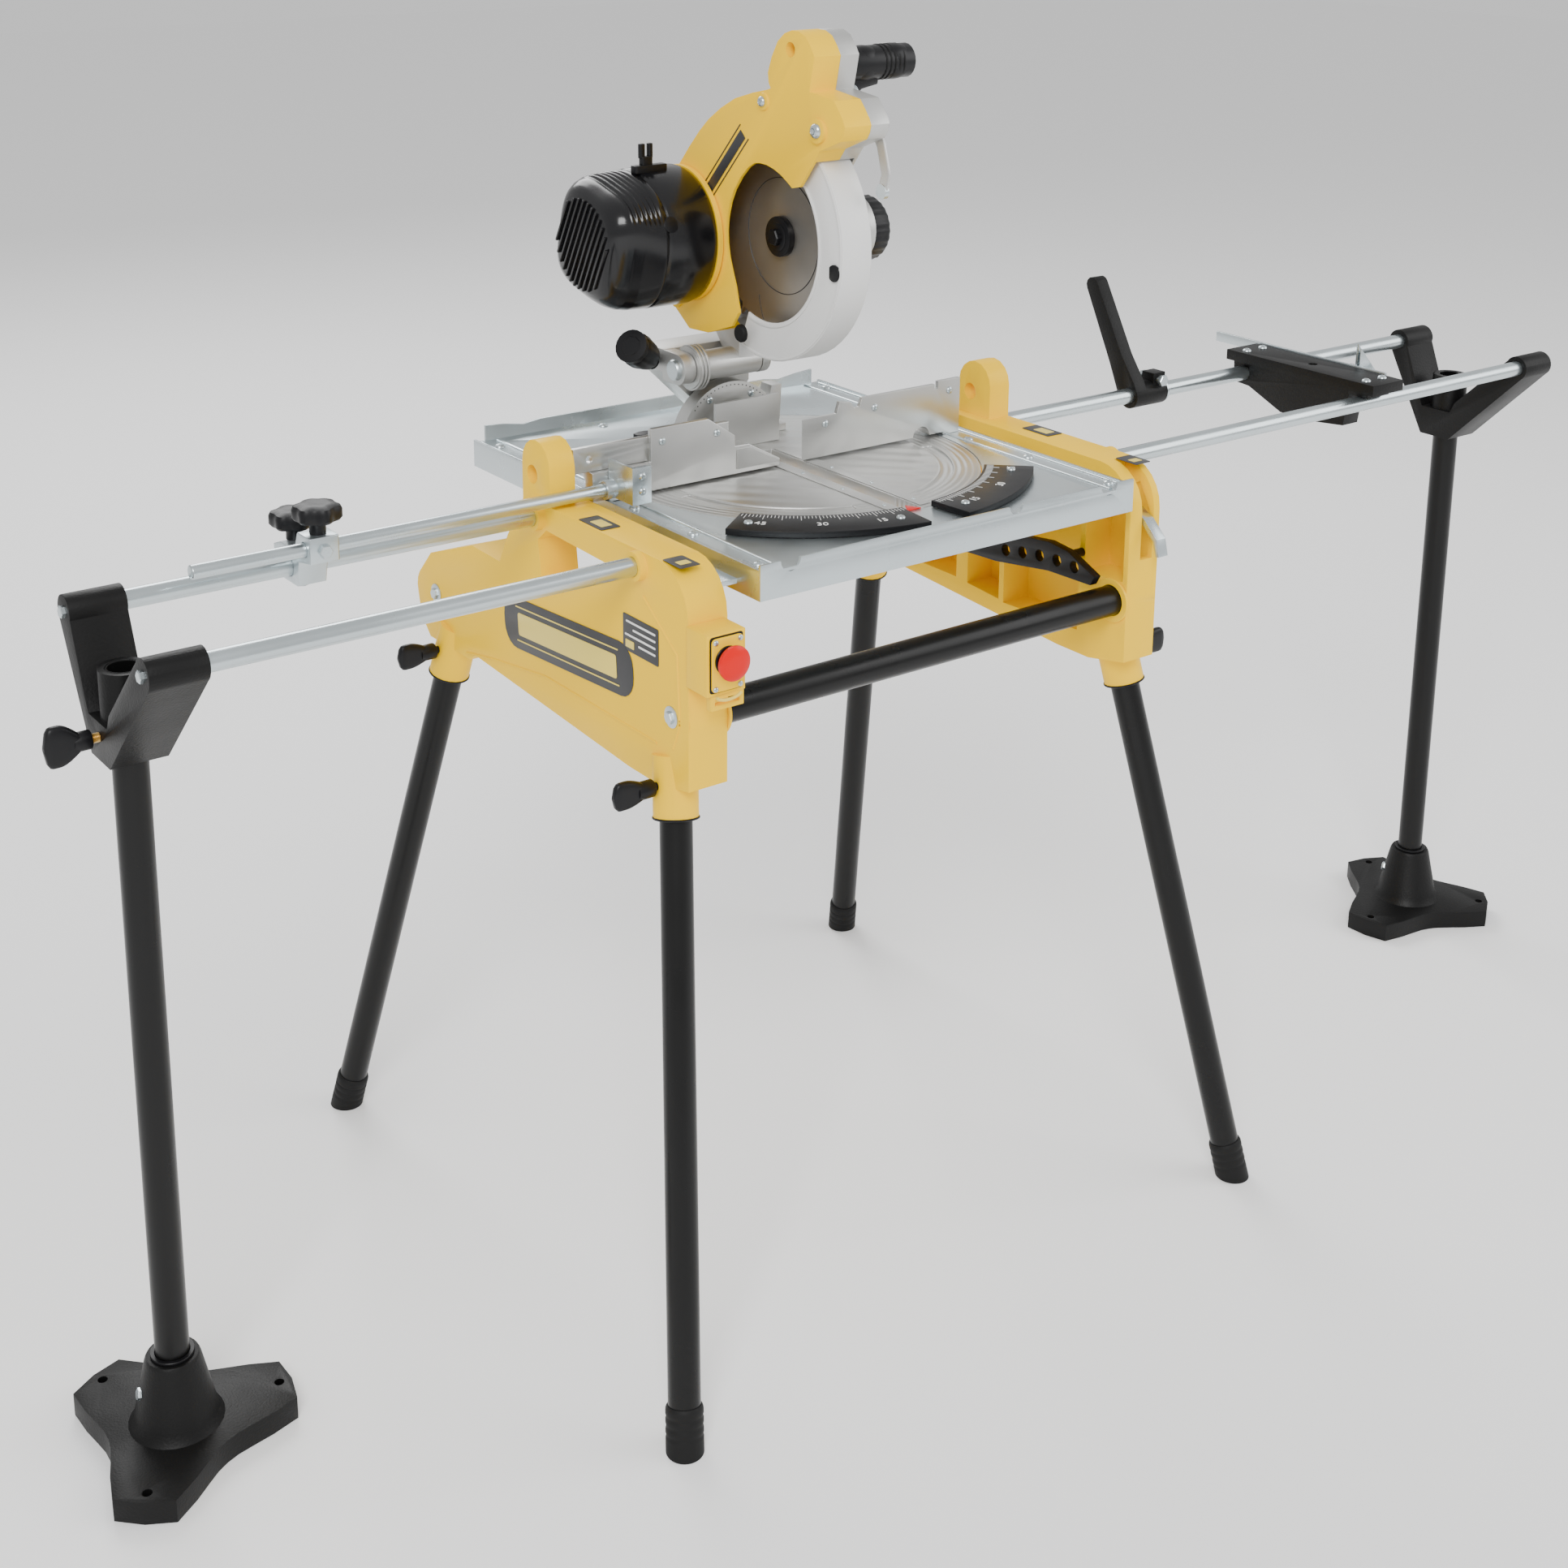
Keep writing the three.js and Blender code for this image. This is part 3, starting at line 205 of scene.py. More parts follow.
# Each kind of finish: its slot, its material's name, its colour or the setting that holds it, its roughness
# and what else it passes to mottled.
FINISHES = {
    "yellow": ("yellow_paint", "yellow_enamel", "yellow", 0.4,
               {"coat": 0.05, "grain": 160, "bump": 0.12, "spread": 0.02, "shine": 0.12}),
    "black": ("black_paint", "satin_black", "black", 0.3, {"grain": 300, "bump": 0.06, "shine": 0.25}),
    "wrinkle": ("black_casting", "wrinkle_black", "wrinkle", 0.46,
                {"grain": 420, "bump": 0.7, "depth": 0.0004, "shine": 0.22}),
    "zinc": ("zinc_plate", "bright_zinc", "zinc", 0.27,
             {"metallic": 0.92, "grain": 260, "bump": 0.05, "spread": 0.1}),
    "cast": ("cast_aluminium", "cast_metal", "cast", 0.42,
             {"metallic": 0.85, "grain": 420, "bump": 0.25, "spread": 0.07}),
    "machined": ("cast_aluminium", "machined_metal", "cast", 0.3,
                 {"metallic": 0.9, "grain": 140, "bump": 0.25, "stretch": (0.05, 6, 1)}),
    "table": ("cast_aluminium", "turned_rings", "cast", 0.36, {"metallic": 0.88, "grain": 200, "bump": 0.15}),
    "steel": ("steel", "ground_steel", "steel", 0.36,
              {"metallic": 0.8, "grain": 90, "bump": 0.1, "spread": 0.3}),
    "carbide": ("steel", "carbide_tips", (0.2, 0.2, 0.21, 1), 0.35, {"metallic": 0.8}),
    "nylon": ("black_plastic", "black_nylon", "nylon", 0.38, {"grain": 420, "bump": 0.2, "shine": 0.25}),
    "gloss": ("black_plastic", "glossy_black", "nylon", 0.2,
              {"coat": 0.1, "grain": 200, "bump": 0.04, "shine": 0.35}),
    "ink": ("black_plastic", "label_ink", (0.03, 0.03, 0.032, 1), 0.45, {"grain": 200, "bump": 0.02}),
    "grey": ("grey_plastic", "pale_grey", "grey", 0.38, {"grain": 300, "bump": 0.06, "spread": 0.03}),
    "label": ("grey_plastic", "label_white", "label", 0.4, {"grain": 200, "bump": 0.02, "spread": 0.03}),
    "red": ("red_plastic", "signal_red", "red", 0.32,
            {"coat": 0.05, "grain": 200, "bump": 0.04, "spread": 0.04, "shine": 0.2}),
    "rubber": ("rubber", "black_rubber", (0.008, 0.008, 0.008, 1), 0.6,
               {"grain": 500, "bump": 0.3, "shine": 0.2}),
    "amber": ("yellow_paint", "guard_strip", (0.8, 0.62, 0.1, 1), 0.35, {"grain": 200, "bump": 0.02}),
    "brass": ("zinc_plate", "brass_thread", (0.62, 0.42, 0.14, 1), 0.3,
              {"metallic": 0.9, "grain": 200, "bump": 0.05}),
}


def finish(kind):
    """The named finish, made once, with its colour from the scene's settings where it has one."""
    _, name, colour, roughness, more = FINISHES[kind]
    material = bpy.data.materials.get(name)
    if material is None:
        if isinstance(colour, str):
            colour = getattr(bpy.context.scene.saw_finishes, colour)
        material = mottled(name, colour, roughness, **more)
        if kind == "table":
            add_turned_rings(material)
    return material


# ------------------------------------------------------------------ surfaces

def placed(points):
    """Machine millimetres to metres in the frame."""
    return (np.asarray(points, float) + SHIFT) / 1000.0


def grid_faces(rows, columns, wrap_rows=False, wrap_columns=True, first=0):
    """Quads between neighbouring rows and columns of a grid of points."""
    r = np.arange(rows if wrap_rows else rows - 1)[:, None]
    c = np.arange(columns if wrap_columns else columns - 1)[None, :]
    r2, c2 = (r + 1) % rows, (c + 1) % columns
    quads = np.stack([r * columns + c, r * columns + c2, r2 * columns + c2, r2 * columns + c], -1)
    return quads.reshape(-1, 4) + first


def loft(rings):
    """A closed body from rings of points, one after the other, with both end rings filled."""
    rings = np.asarray(rings, float)
    rows, columns = rings.shape[:2]
    faces = grid_faces(rows, columns).tolist()
    faces.append(list(range(columns))[::-1])
    faces.append([(rows - 1) * columns + i for i in range(columns)])
    return rings.reshape(-1, 3), faces


def across(direction):
    """Two unit vectors square to a direction and to each other."""
    d = np.asarray(direction, float) / np.linalg.norm(direction)
    helper = np.array([0, 0, 1.0]) if abs(d[2]) < 0.9 else np.array([1.0, 0, 0])
    u = np.cross(helper, d)
    u /= np.linalg.norm(u)
    return u, np.cross(d, u)


def turned(start, direction, profile, sides=48, wave=0.0, lobes=0):
    """Each (radius, distance) of the profile is swept round an axis. A wave swells the radius by
    1 + wave * cos(lobes * angle)."""
    direction = np.asarray(direction, float) / np.linalg.norm(direction)
    u, v = across(direction)
    profile = np.asarray(profile, float)
    angle = np.linspace(0, 2 * np.pi, sides, endpoint=False)
    swell = 1 + wave * np.cos(lobes * angle)
    radius = profile[:, 0][:, None] * swell[None, :]
    ring = (radius * np.cos(angle))[..., None] * u + (radius * np.sin(angle))[..., None] * v
    return loft(np.asarray(start, float) + profile[:, 1][:, None, None] * direction + ring)


def softened(radius, length, edge=1.5):
    """Profile of a round bar whose two ends have a quarter-round edge."""
    t = np.linspace(0, np.pi / 2, 4)
    head = np.stack([radius - edge + edge * np.sin(t), edge - edge * np.cos(t)], 1)
    tail = np.stack([radius - edge + edge * np.cos(t), length - edge + edge * np.sin(t)], 1)
    return np.concatenate([[[0.2, 0]], head, tail, [[0.2, length]]])


def bar(a, b, radius, sides=48, edge=1.5):
    """A round bar between two points with softened ends."""
    a, b = np.asarray(a, float), np.asarray(b, float)
    return turned(a, b - a, softened(radius, np.linalg.norm(b - a), edge), sides)


def pipe(a, b, radius, wall, sides=48):
    """A hollow tube: outer wall up, rim, inner wall down, rim, each with a small round."""
    a, b = np.asarray(a, float), np.asarray(b, float)
    length = np.linalg.norm(b - a)
    inner = radius - wall
    profile = np.array([
        [inner, 0.4], [inner + 0.4, 0], [radius - 0.5, 0], [radius, 0.5],
        [radius, length - 0.5], [radius - 0.5, length], [inner + 0.4, length], [inner, length - 0.4]])
    direction = (b - a) / length
    u, v = across(direction)
    angle = np.linspace(0, 2 * np.pi, sides, endpoint=False)
    ring = np.cos(angle)[:, None] * u + np.sin(angle)[:, None] * v
    points = a + profile[:, 1][:, None, None] * direction + profile[:, 0][:, None, None] * ring
    return points.reshape(-1, 3), grid_faces(len(profile), sides, wrap_rows=True).tolist()


AXES = {"x": (1, 2, 0), "y": (0, 2, 1), "z": (0, 1, 2)}


def slab(axis, outline, low, high, edge=0.8, steps=3):
    """A flat outline carried along an axis. Near each face the outline shrinks along its own normals on a
    quarter circle, which rounds both edges."""
    flat = np.asarray(outline, float)
    before, after = np.roll(flat, 1, 0), np.roll(flat, -1, 0)
    area = np.sum(flat[:, 0] * after[:, 1] - after[:, 0] * flat[:, 1])
    tangent = after - before
    tangent /= np.linalg.norm(tangent, axis=1)[:, None] + 1e-9
    normal = np.stack([tangent[:, 1], -tangent[:, 0]], 1) * (1 if area > 0 else -1)
    t = np.linspace(0, np.pi / 2, steps + 1)
    inset = np.concatenate([edge * (1 - np.sin(t)), (edge * (1 - np.sin(t)))[::-1]])
    along = np.concatenate([low + edge * (1 - np.cos(t)), (high - edge * (1 - np.cos(t)))[::-1]])
    rings = np.zeros((len(inset), len(flat), 3))
    a, b, c = AXES[axis]
    moved = flat[None] - inset[:, None, None] * normal[None]
    rings[..., a] = moved[..., 0]
    rings[..., b] = moved[..., 1]
    rings[..., c] = along[:, None]
    return loft(rings)


def arc(cx, cy, radius, start, end, count):
    """Points on a circle, angles in degrees."""
    t = np.radians(np.linspace(start, end, count))
    return np.stack([cx + radius * np.cos(t), cy + radius * np.sin(t)], 1)


def box_outline(u0, u1, v0, v1, corner=1.5, count=4):
    """A rectangle with round corners."""
    return np.concatenate([
        arc(u1 - corner, v1 - corner, corner, 0, 90, count),
        arc(u0 + corner, v1 - corner, corner, 90, 180, count),
        arc(u0 + corner, v0 + corner, corner, 180, 270, count),
        arc(u1 - corner, v0 + corner, corner, 270, 360, count)])


def block(x0, x1, y0, y1, z0, z1, corner=1.5, edge=0.8):
    return slab("z", box_outline(x0, x1, y0, y1, corner), z0, z1, edge)


def swept(path, width, height, sides=24, power=2.6, tilt=(0, 0, 1)):
    """A superellipse section carried along a path. width and height are one value, or one for each path
    point."""
    path = np.asarray(path, float)
    width, height = np.zeros(len(path)) + width, np.zeros(len(path)) + height
    along = np.gradient(path, axis=0)
    along /= np.linalg.norm(along, axis=1)[:, None]
    side = np.cross(np.asarray(tilt, float), along)
    side /= np.linalg.norm(side, axis=1)[:, None]
    up = np.cross(along, side)
    angle = np.linspace(0, 2 * np.pi, sides, endpoint=False)
    c, s = np.cos(angle), np.sin(angle)
    u = np.sign(c) * np.abs(c) ** (2 / power)
    v = np.sign(s) * np.abs(s) ** (2 / power)
    rings = (path[:, None] + width[:, None, None] * u[None, :, None] * side[:, None]
             + height[:, None, None] * v[None, :, None] * up[:, None])
    return loft(rings)

def turns_about(axis, angles):
    """Rotation matrices about x or z, one for each angle."""
    a, b = {"x": (1, 2), "z": (0, 1)}[axis]
    turns = np.tile(np.eye(3), (len(angles), 1, 1))
    turns[:, a, a] = turns[:, b, b] = np.cos(angles)
    turns[:, a, b], turns[:, b, a] = -np.sin(angles), np.sin(angles)
    return turns
def scattered(shape, places, turns=None):
    """Copies of one small shape, each moved to its place, as one mesh."""
    points, faces = shape
    places = np.asarray(places, float)
    spread = points[None] if turns is None else np.einsum("kij,nj->kni", turns, points)
    everything = (spread + places[:, None]).reshape(-1, 3)
    count = len(points)
    return everything, [[i + count * k for i in face] for k in range(len(places)) for face in faces]


def merged(*shapes):
    points, faces, first = [], [], 0
    for shape_points, shape_faces in shapes:
        points.append(shape_points)
        faces += [[i + first for i in face] for face in shape_faces]
        first += len(shape_points)
    return np.concatenate(points), faces


def keep(name, shape, kind, body, replaces=(), sharp=38):
    """Puts a shape into the scene with its finish, riding on a body."""
    points, faces = shape
    mesh = bpy.data.meshes.new(name)
    mesh.from_pydata(placed(points).tolist(), [], faces)
    tidy = bmesh.new()
    tidy.from_mesh(mesh)
    bmesh.ops.recalc_face_normals(tidy, faces=tidy.faces)
    tidy.to_mesh(mesh)
    tidy.free()
    return finished(name, mesh, kind, body, replaces, sharp)


def finished(name, mesh, kind, body, replaces=(), sharp=38):
    mesh.polygons.foreach_set("use_smooth", np.ones(len(mesh.polygons), bool))
    mesh.set_sharp_from_angle(angle=math.radians(sharp))
    mesh.materials.clear()
    mesh.materials.append(finish(kind))
    piece = bpy.data.objects.new(name, mesh)
    bpy.context.scene.collection.objects.link(piece)
    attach(piece, body)
    if replaces:
        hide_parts(*replaces)
    return piece


def rounded(node, kind, edge, sharp=38, least=28):
    """A frame node with its loose triangles merged, its flat faces joined and its hard edges rounded."""
    source = frame["nodes"][node]
    body = next(name for name, empty in frame["bodies"].items() if source.parent is empty)
    tidy = bmesh.new()
    tidy.from_mesh(source.data)
    bmesh.ops.remove_doubles(tidy, verts=tidy.verts, dist=2e-5)
    bmesh.ops.dissolve_limit(tidy, angle_limit=math.radians(0.8), verts=tidy.verts, edges=tidy.edges)
    hard = [e for e in tidy.edges if len(e.link_faces) == 2 and e.calc_face_angle(0) > math.radians(least)]
    bmesh.ops.bevel(tidy, geom=hard, offset=edge, segments=2, profile=0.6, affect="EDGES", clamp_overlap=True)
    bmesh.ops.remove_doubles(tidy, verts=tidy.verts, dist=1e-6)
    mesh = bpy.data.meshes.new(f"{node}_finished")
    tidy.to_mesh(mesh)
    tidy.free()
    return finished(f"{node}_finished", mesh, kind, body, (node,), sharp)


def disc(start, direction, radius, height, top_radius, top_height, sides=32):
    """A low round head: an upright edge, then a slope in to its top."""
    return turned(start, direction, [(0.2, 0), (radius, 0), (radius, height), (top_radius, top_height),
                                     (0.2, top_height)], sides)


def hexagon(start, direction, radius, height):
    """A hexagonal head with a chamfered top."""
    return disc(start, direction, radius, height * 0.8, radius * 0.86, height, 6)


SCREW = np.array([(0.2, 0), (4.8, 0), (4.6, 1), (3.6, 2.1), (2.2, 2.6), (1.7, 1.9), (1.6, 2.9), (0.2, 3)])
SCREW_RADIUS = 0.0048


def screws(name, places, direction, body, kind="zinc", size=1.0):
    """Dome screw heads with a driving recess, all facing one way."""
    profile = SCREW * size * bpy.context.scene.saw_sizes.screw_radius / SCREW_RADIUS
    return keep(name, scattered(turned((0, 0, 0), direction, profile, 20), places), kind, body)


# ------------------------------------------------------------------ pieces of the stand

def leg_point(side, end, z):
    """A point on a leg's axis: straight between its place at the casting and its place on the floor."""
    top = 598.0
    t = (top - z) / top
    y = {"front": -171 - 134.5 * t, "back": 290 + 149.0 * t}[end]
    return np.array([side * (305 + 82.5 * t), y, z])


def on_face(side, outline, inner, outer, edge=0.3):
    """A thin plate on a side casting's outer face, between two heights above it."""
    return slab("x", outline, *sorted((side * (CASTING_FACE + inner), side * (CASTING_FACE + outer))), edge)


def leaning(*box):
    """A rectangle with round corners, turned a little about the middle of the name plate."""
    middle, lean = (17, 717), np.radians(-4.0)
    turn = np.array([[np.cos(lean), -np.sin(lean)], [np.sin(lean), np.cos(lean)]])
    return (box_outline(*box) - middle) @ turn.T + middle


class SAW_OT_castings(bpy.types.Operator):
    """Side castings with their plates, caps and bolts."""

    bl_idname = "saw.castings"
    bl_label = "Side castings"

    def execute(self, context):
        edge = context.scene.saw_sizes.casting_edge
        for side, word in SIDES:
            rounded(f"casting_{word}", "yellow", edge)
            # A name plate left plain, with two bars, and a data plate with ruled lines.
            for name, outline, inner, outer, kind in (
                    ("name_plate", leaning(-110, 144, 689, 746, 24, 6), 0.2, 1.0, "ink"),
                    ("name_bar_wide", leaning(-80, 114, 705, 730, 3), 0.9, 1.5, "amber"),
                    ("name_line_low", leaning(-84, 118, 698, 699.6, 0.6), 0.9, 1.4, "amber"),
                    ("name_line_high", leaning(-84, 118, 735.4, 737, 0.6), 0.9, 1.4, "amber"),
                    ("data_plate", box_outline(-155, -92, 748, 786, 2), 0.2, 0.8, "ink"),
                    ("data_square", box_outline(-112, -97, 752, 760, 1), 0.7, 1.2, "amber")):
                keep(f"{name}_{word}", on_face(side, outline, inner, outer), kind, "stand")
            rules = [on_face(side, box_outline(-150, -150 + w, z, z + 2.2, 0.6, 2), 0.7, 1.2, 0.2)
                     for z, w in ((778, 52), (771, 40), (764, 54), (757, 30))]
            keep(f"data_rules_{word}", merged(*rules), "label", "stand")
            low, high = sorted((side * (CASTING_FACE - 25), side * (CASTING_FACE - 2)))
            for name, y0, y1 in (("top_mark_front", -190, -158), ("top_mark_back", -50, -6)):
                plate = block(low, high, y0, y1, 857.1, 857.9, 2, 0.3)
                stripe = block(low + 5, high - 5, y0 + 8, y1 - 14, 857.7, 858.2, 1, 0.2)
                keep(f"{name}_{word}", plate, "ink", "stand")
                keep(f"{name}_bar_{word}", stripe, "amber", "stand")
            self.beads(side, word)
            bolts = [(side * CASTING_FACE, y, z) for y, z in ((-176, 704), (250, 690), (300, 690))]
            heads = merged(*[hexagon(p, (side, 0, 0), 6.5, 5) for p in bolts],
                           *[disc(p, (side, 0, 0), 11, 1, 9, 1.6, 28) for p in bolts])
            keep(f"casting_bolts_{word}", heads, "zinc", "stand")
            # Collar seams where the legs enter.
            for end in ENDS:
                a, b = leg_point(side, end, 597), leg_point(side, end, 604)
                ring = pipe(a - (b - a) * 0.3, a, 23.6, 6.9, 40)
                keep(f"collar_ring_{end}_{word}", ring, "nylon", "stand")
        for side, word in SIDES[::-1]:
            ring = pipe((side * 267.6, *CROSS_TUBE), (side * 264.5, *CROSS_TUBE), 25, 7.6)
            keep(f"tube_collar_{word}", ring, "yellow", "stand")
        return {"FINISHED"}

    def beads(self, side, word):
        """Raised lines on the casting's outer face, along its front and low edges."""
        for title, path in (("front", [(-128, 812), (-186, 770), (-190, 700), (-178, 672)]),
                            ("low", [(-150, 668), (60, 668), (170, 652), (232, 640)])):
            corners = np.array([(side * (CASTING_FACE - 0.4), y, z) for y, z in path])
            steps = np.linspace(0, len(path) - 1, 40)
            line = np.stack([np.interp(steps, range(len(path)), corners[:, k]) for k in range(3)], 1)
            bead = swept(line, 1.8, 1.5, 16, 2)
            keep(f"casting_bead_{title}_{word}", bead, "yellow", "stand")


class SAW_OT_tubes(bpy.types.Operator):
    """Legs, cross tube, rails and posts as hollow tubes."""

    bl_idname = "saw.tubes"
    bl_label = "Tubes"

    def execute(self, context):
        for side, word in SIDES:
            for end in ENDS:
                shape = pipe(leg_point(side, end, 10), leg_point(side, end, 644), 16.3, 1.6)
                keep(f"leg_tube_{end}_{word}", shape, "black", "stand", (f"leg_{end}_{word}",))
        shape = pipe((-298, *CROSS_TUBE), (298, *CROSS_TUBE), 17, 1.6)
        keep("cross_bar", shape, "black", "stand", ("cross_tube",))
        for name, y in RAILS.items():
            for word, x0, x1 in (("left", -800, -277), ("right", 277, 1110)):
                shape = pipe((x0, y, RAIL_Z), (x1, y, RAIL_Z), 9.6, 1.5)
                keep(f"rail_tube_{name}_{word}", shape, "zinc", "stand", (f"rail_{name}_{word}",))
        for word, x in POSTS.items():
            shape = pipe((x, 0, 30), (x, 0, 806), 16.5, 1.8)
            keep(f"post_tube_{word}", shape, "black", f"post_{word[0]}", (f"post_{word}",))
        return {"FINISHED"}


class SAW_OT_feet(bpy.types.Operator):
    """Ribbed rubber feet, cut level at the floor."""

    bl_idname = "saw.feet"
    bl_label = "Feet"

    def execute(self, context):
        for side, word in SIDES:
            for end in ENDS:
                a, b = leg_point(side, end, -12), leg_point(side, end, 44)
                length = np.linalg.norm(b - a)
                d = np.linspace(0, length, 36)
                groove = 0.8 * np.clip(np.cos((d - 20) * 2 * np.pi / 9), 0, 1) * (d > 24) * (d < 48)
                radius = np.minimum(18.9 - groove, 16.9 + np.sqrt(np.clip(length - d, 0, 4)))
                profile = [(0.2, 0), *zip(radius, d), (16.6, length), (16.6, 24), (0.2, 24)]
                points, faces = turned(a, b - a, profile, 48)
                # Points under the floor move up along the leg, so the foot is cut level.
                direction = (b - a) / length
                points += (np.clip(-points[:, 2], 0, None) / direction[2])[:, None] * direction
                keep(f"rubber_foot_{end}_{word}", (points, faces), "rubber", "stand", (f"foot_{end}_{word}",))
        return {"FINISHED"}


def wing(start, side, thick=6.0, tall=14.5, length=32.0, neck=9.0):
    """A wing grip along X: the height swells from the neck to the tip while the thickness thins a little."""
    t = np.linspace(0, 1, 14)
    path = np.stack([start[0] + side * length * t, np.full(14, start[1]), np.full(14, start[2])], 1)
    round_end = np.sqrt(np.clip(1 - np.clip((t - 0.78) / 0.22, 0, 1) ** 2, 0.02, 1))
    height = (neck + (tall - neck) * np.sin(np.clip(t / 0.6, 0, 1) * np.pi / 2)) * round_end
    width = (thick - 1.4 * t) * (0.4 + 0.6 * round_end)
    return swept(path, width, height, 28, 3.2)


class SAW_OT_clamps(bpy.types.Operator):
    """Wing screws on the legs and posts, and the lobed knobs of the length stop."""

    bl_idname = "saw.clamps"
    bl_label = "Clamping knobs"

    def execute(self, context):
        for side, word in SIDES:
            for end in ENDS:
                x, y, z = leg_point(side, end, 630)
                s = abs(x) + 17.1
                shape = merged(bar((side * s, y, z), (side * (s + 12), y, z), 4),
                               self.collar((side * (s + 10), y, z), side, 18),
                               wing((side * (s + 23), y, z), side))
                keep(f"leg_wing_{end}_{word}", shape, "nylon", f"clamp_{end}_{word}",
                     (f"leg_clamp_{end}_{word}",))
            s, z, body = abs(POSTS[word]) + 16.5, 745, f"screw_{word[0]}"
            shape = merged(self.collar((side * (s + 18), 0, z), side, 16),
                           wing((side * (s + 29), 0, z), side, 7, 19.5, 31))
            keep(f"post_wing_{word}", shape, "nylon", body, (f"post_screw_{word}",))
            turn_ends = enumerate(np.arange(0, 18, 0.5))
            thread = [(0.2, 0), *[(4.5 - 0.5 * (i % 2), d) for i, d in turn_ends], (0.2, 17.8)]
            shape = turned((side * (s + 0.8), 0, z), (side, 0, 0), thread, 24)
            keep(f"post_thread_{word}", shape, "brass", body)
        lobes = context.scene.saw_sizes.knob_lobes
        for name, place in (("rod", (-573, 34, 882.3)), ("rail", (-573, 88, 862.3))):
            head = turned(np.array(place) + (0, 0, 12), (0, 0, 1),
                          [(0.2, 0), (14, 0), (20, 1.2), (22.2, 4), (22.2, 12), (20.5, 15.5), (15, 17.6),
                           (9, 18), (0.2, 17)], 96, 0.075, lobes)
            stem = turned(place, (0, 0, 1), [(0.2, 0), (8, 0), (8, 9), (10, 12.5), (0.2, 12.5)], 32)
            keep(f"lobed_knob_{name}", merged(head, stem), "nylon", f"knob_{name}", (f"stop_knob_{name}",))
        return {"FINISHED"}

    def collar(self, start, side, length):
        """Round neck of a wing grip, along X."""
        profile = [(0.2, 0), (8.4, 0), (9, 0.8), (9, length - 6), (7.5, length), (0.2, length)]
        return turned(start, (side, 0, 0), profile, 32)


class SAW_OT_rail_ends(bpy.types.Operator):
    """Brackets and three-toed bases at both ends."""

    bl_idname = "saw.rail_ends"
    bl_label = "Rail ends"

    def execute(self, context):
        edge = context.scene.saw_sizes.casting_edge
        for side, word in SIDES:
            x, body = POSTS[word], f"post_{word[0]}"
            rounded(f"bracket_{word}", "wrinkle", edge)
            rounded(f"base_{word}", "wrinkle", edge)
            heads = [hexagon((x + side * 27, y, RAIL_Z), (side, 0, 0), 6, 4) for y in RAILS.values()]
            keep(f"bracket_bolts_{word}", merged(*heads), "zinc", "stand")
            angle = np.radians({"left": 173, "right": 130}[word])
            place = np.array([x + 30.5 * np.cos(angle), 30.5 * np.sin(angle), 62])
            direction = (np.cos(angle), np.sin(angle), 0.2)
            keep(f"base_bolt_{word}", hexagon(place, direction, 6, 6), "zinc", body)
            keep(f"post_ring_{word}", pipe((x, 0, 97.2), (x, 0, 100), 21, 4.3), "nylon", body)
        return {"FINISHED"}


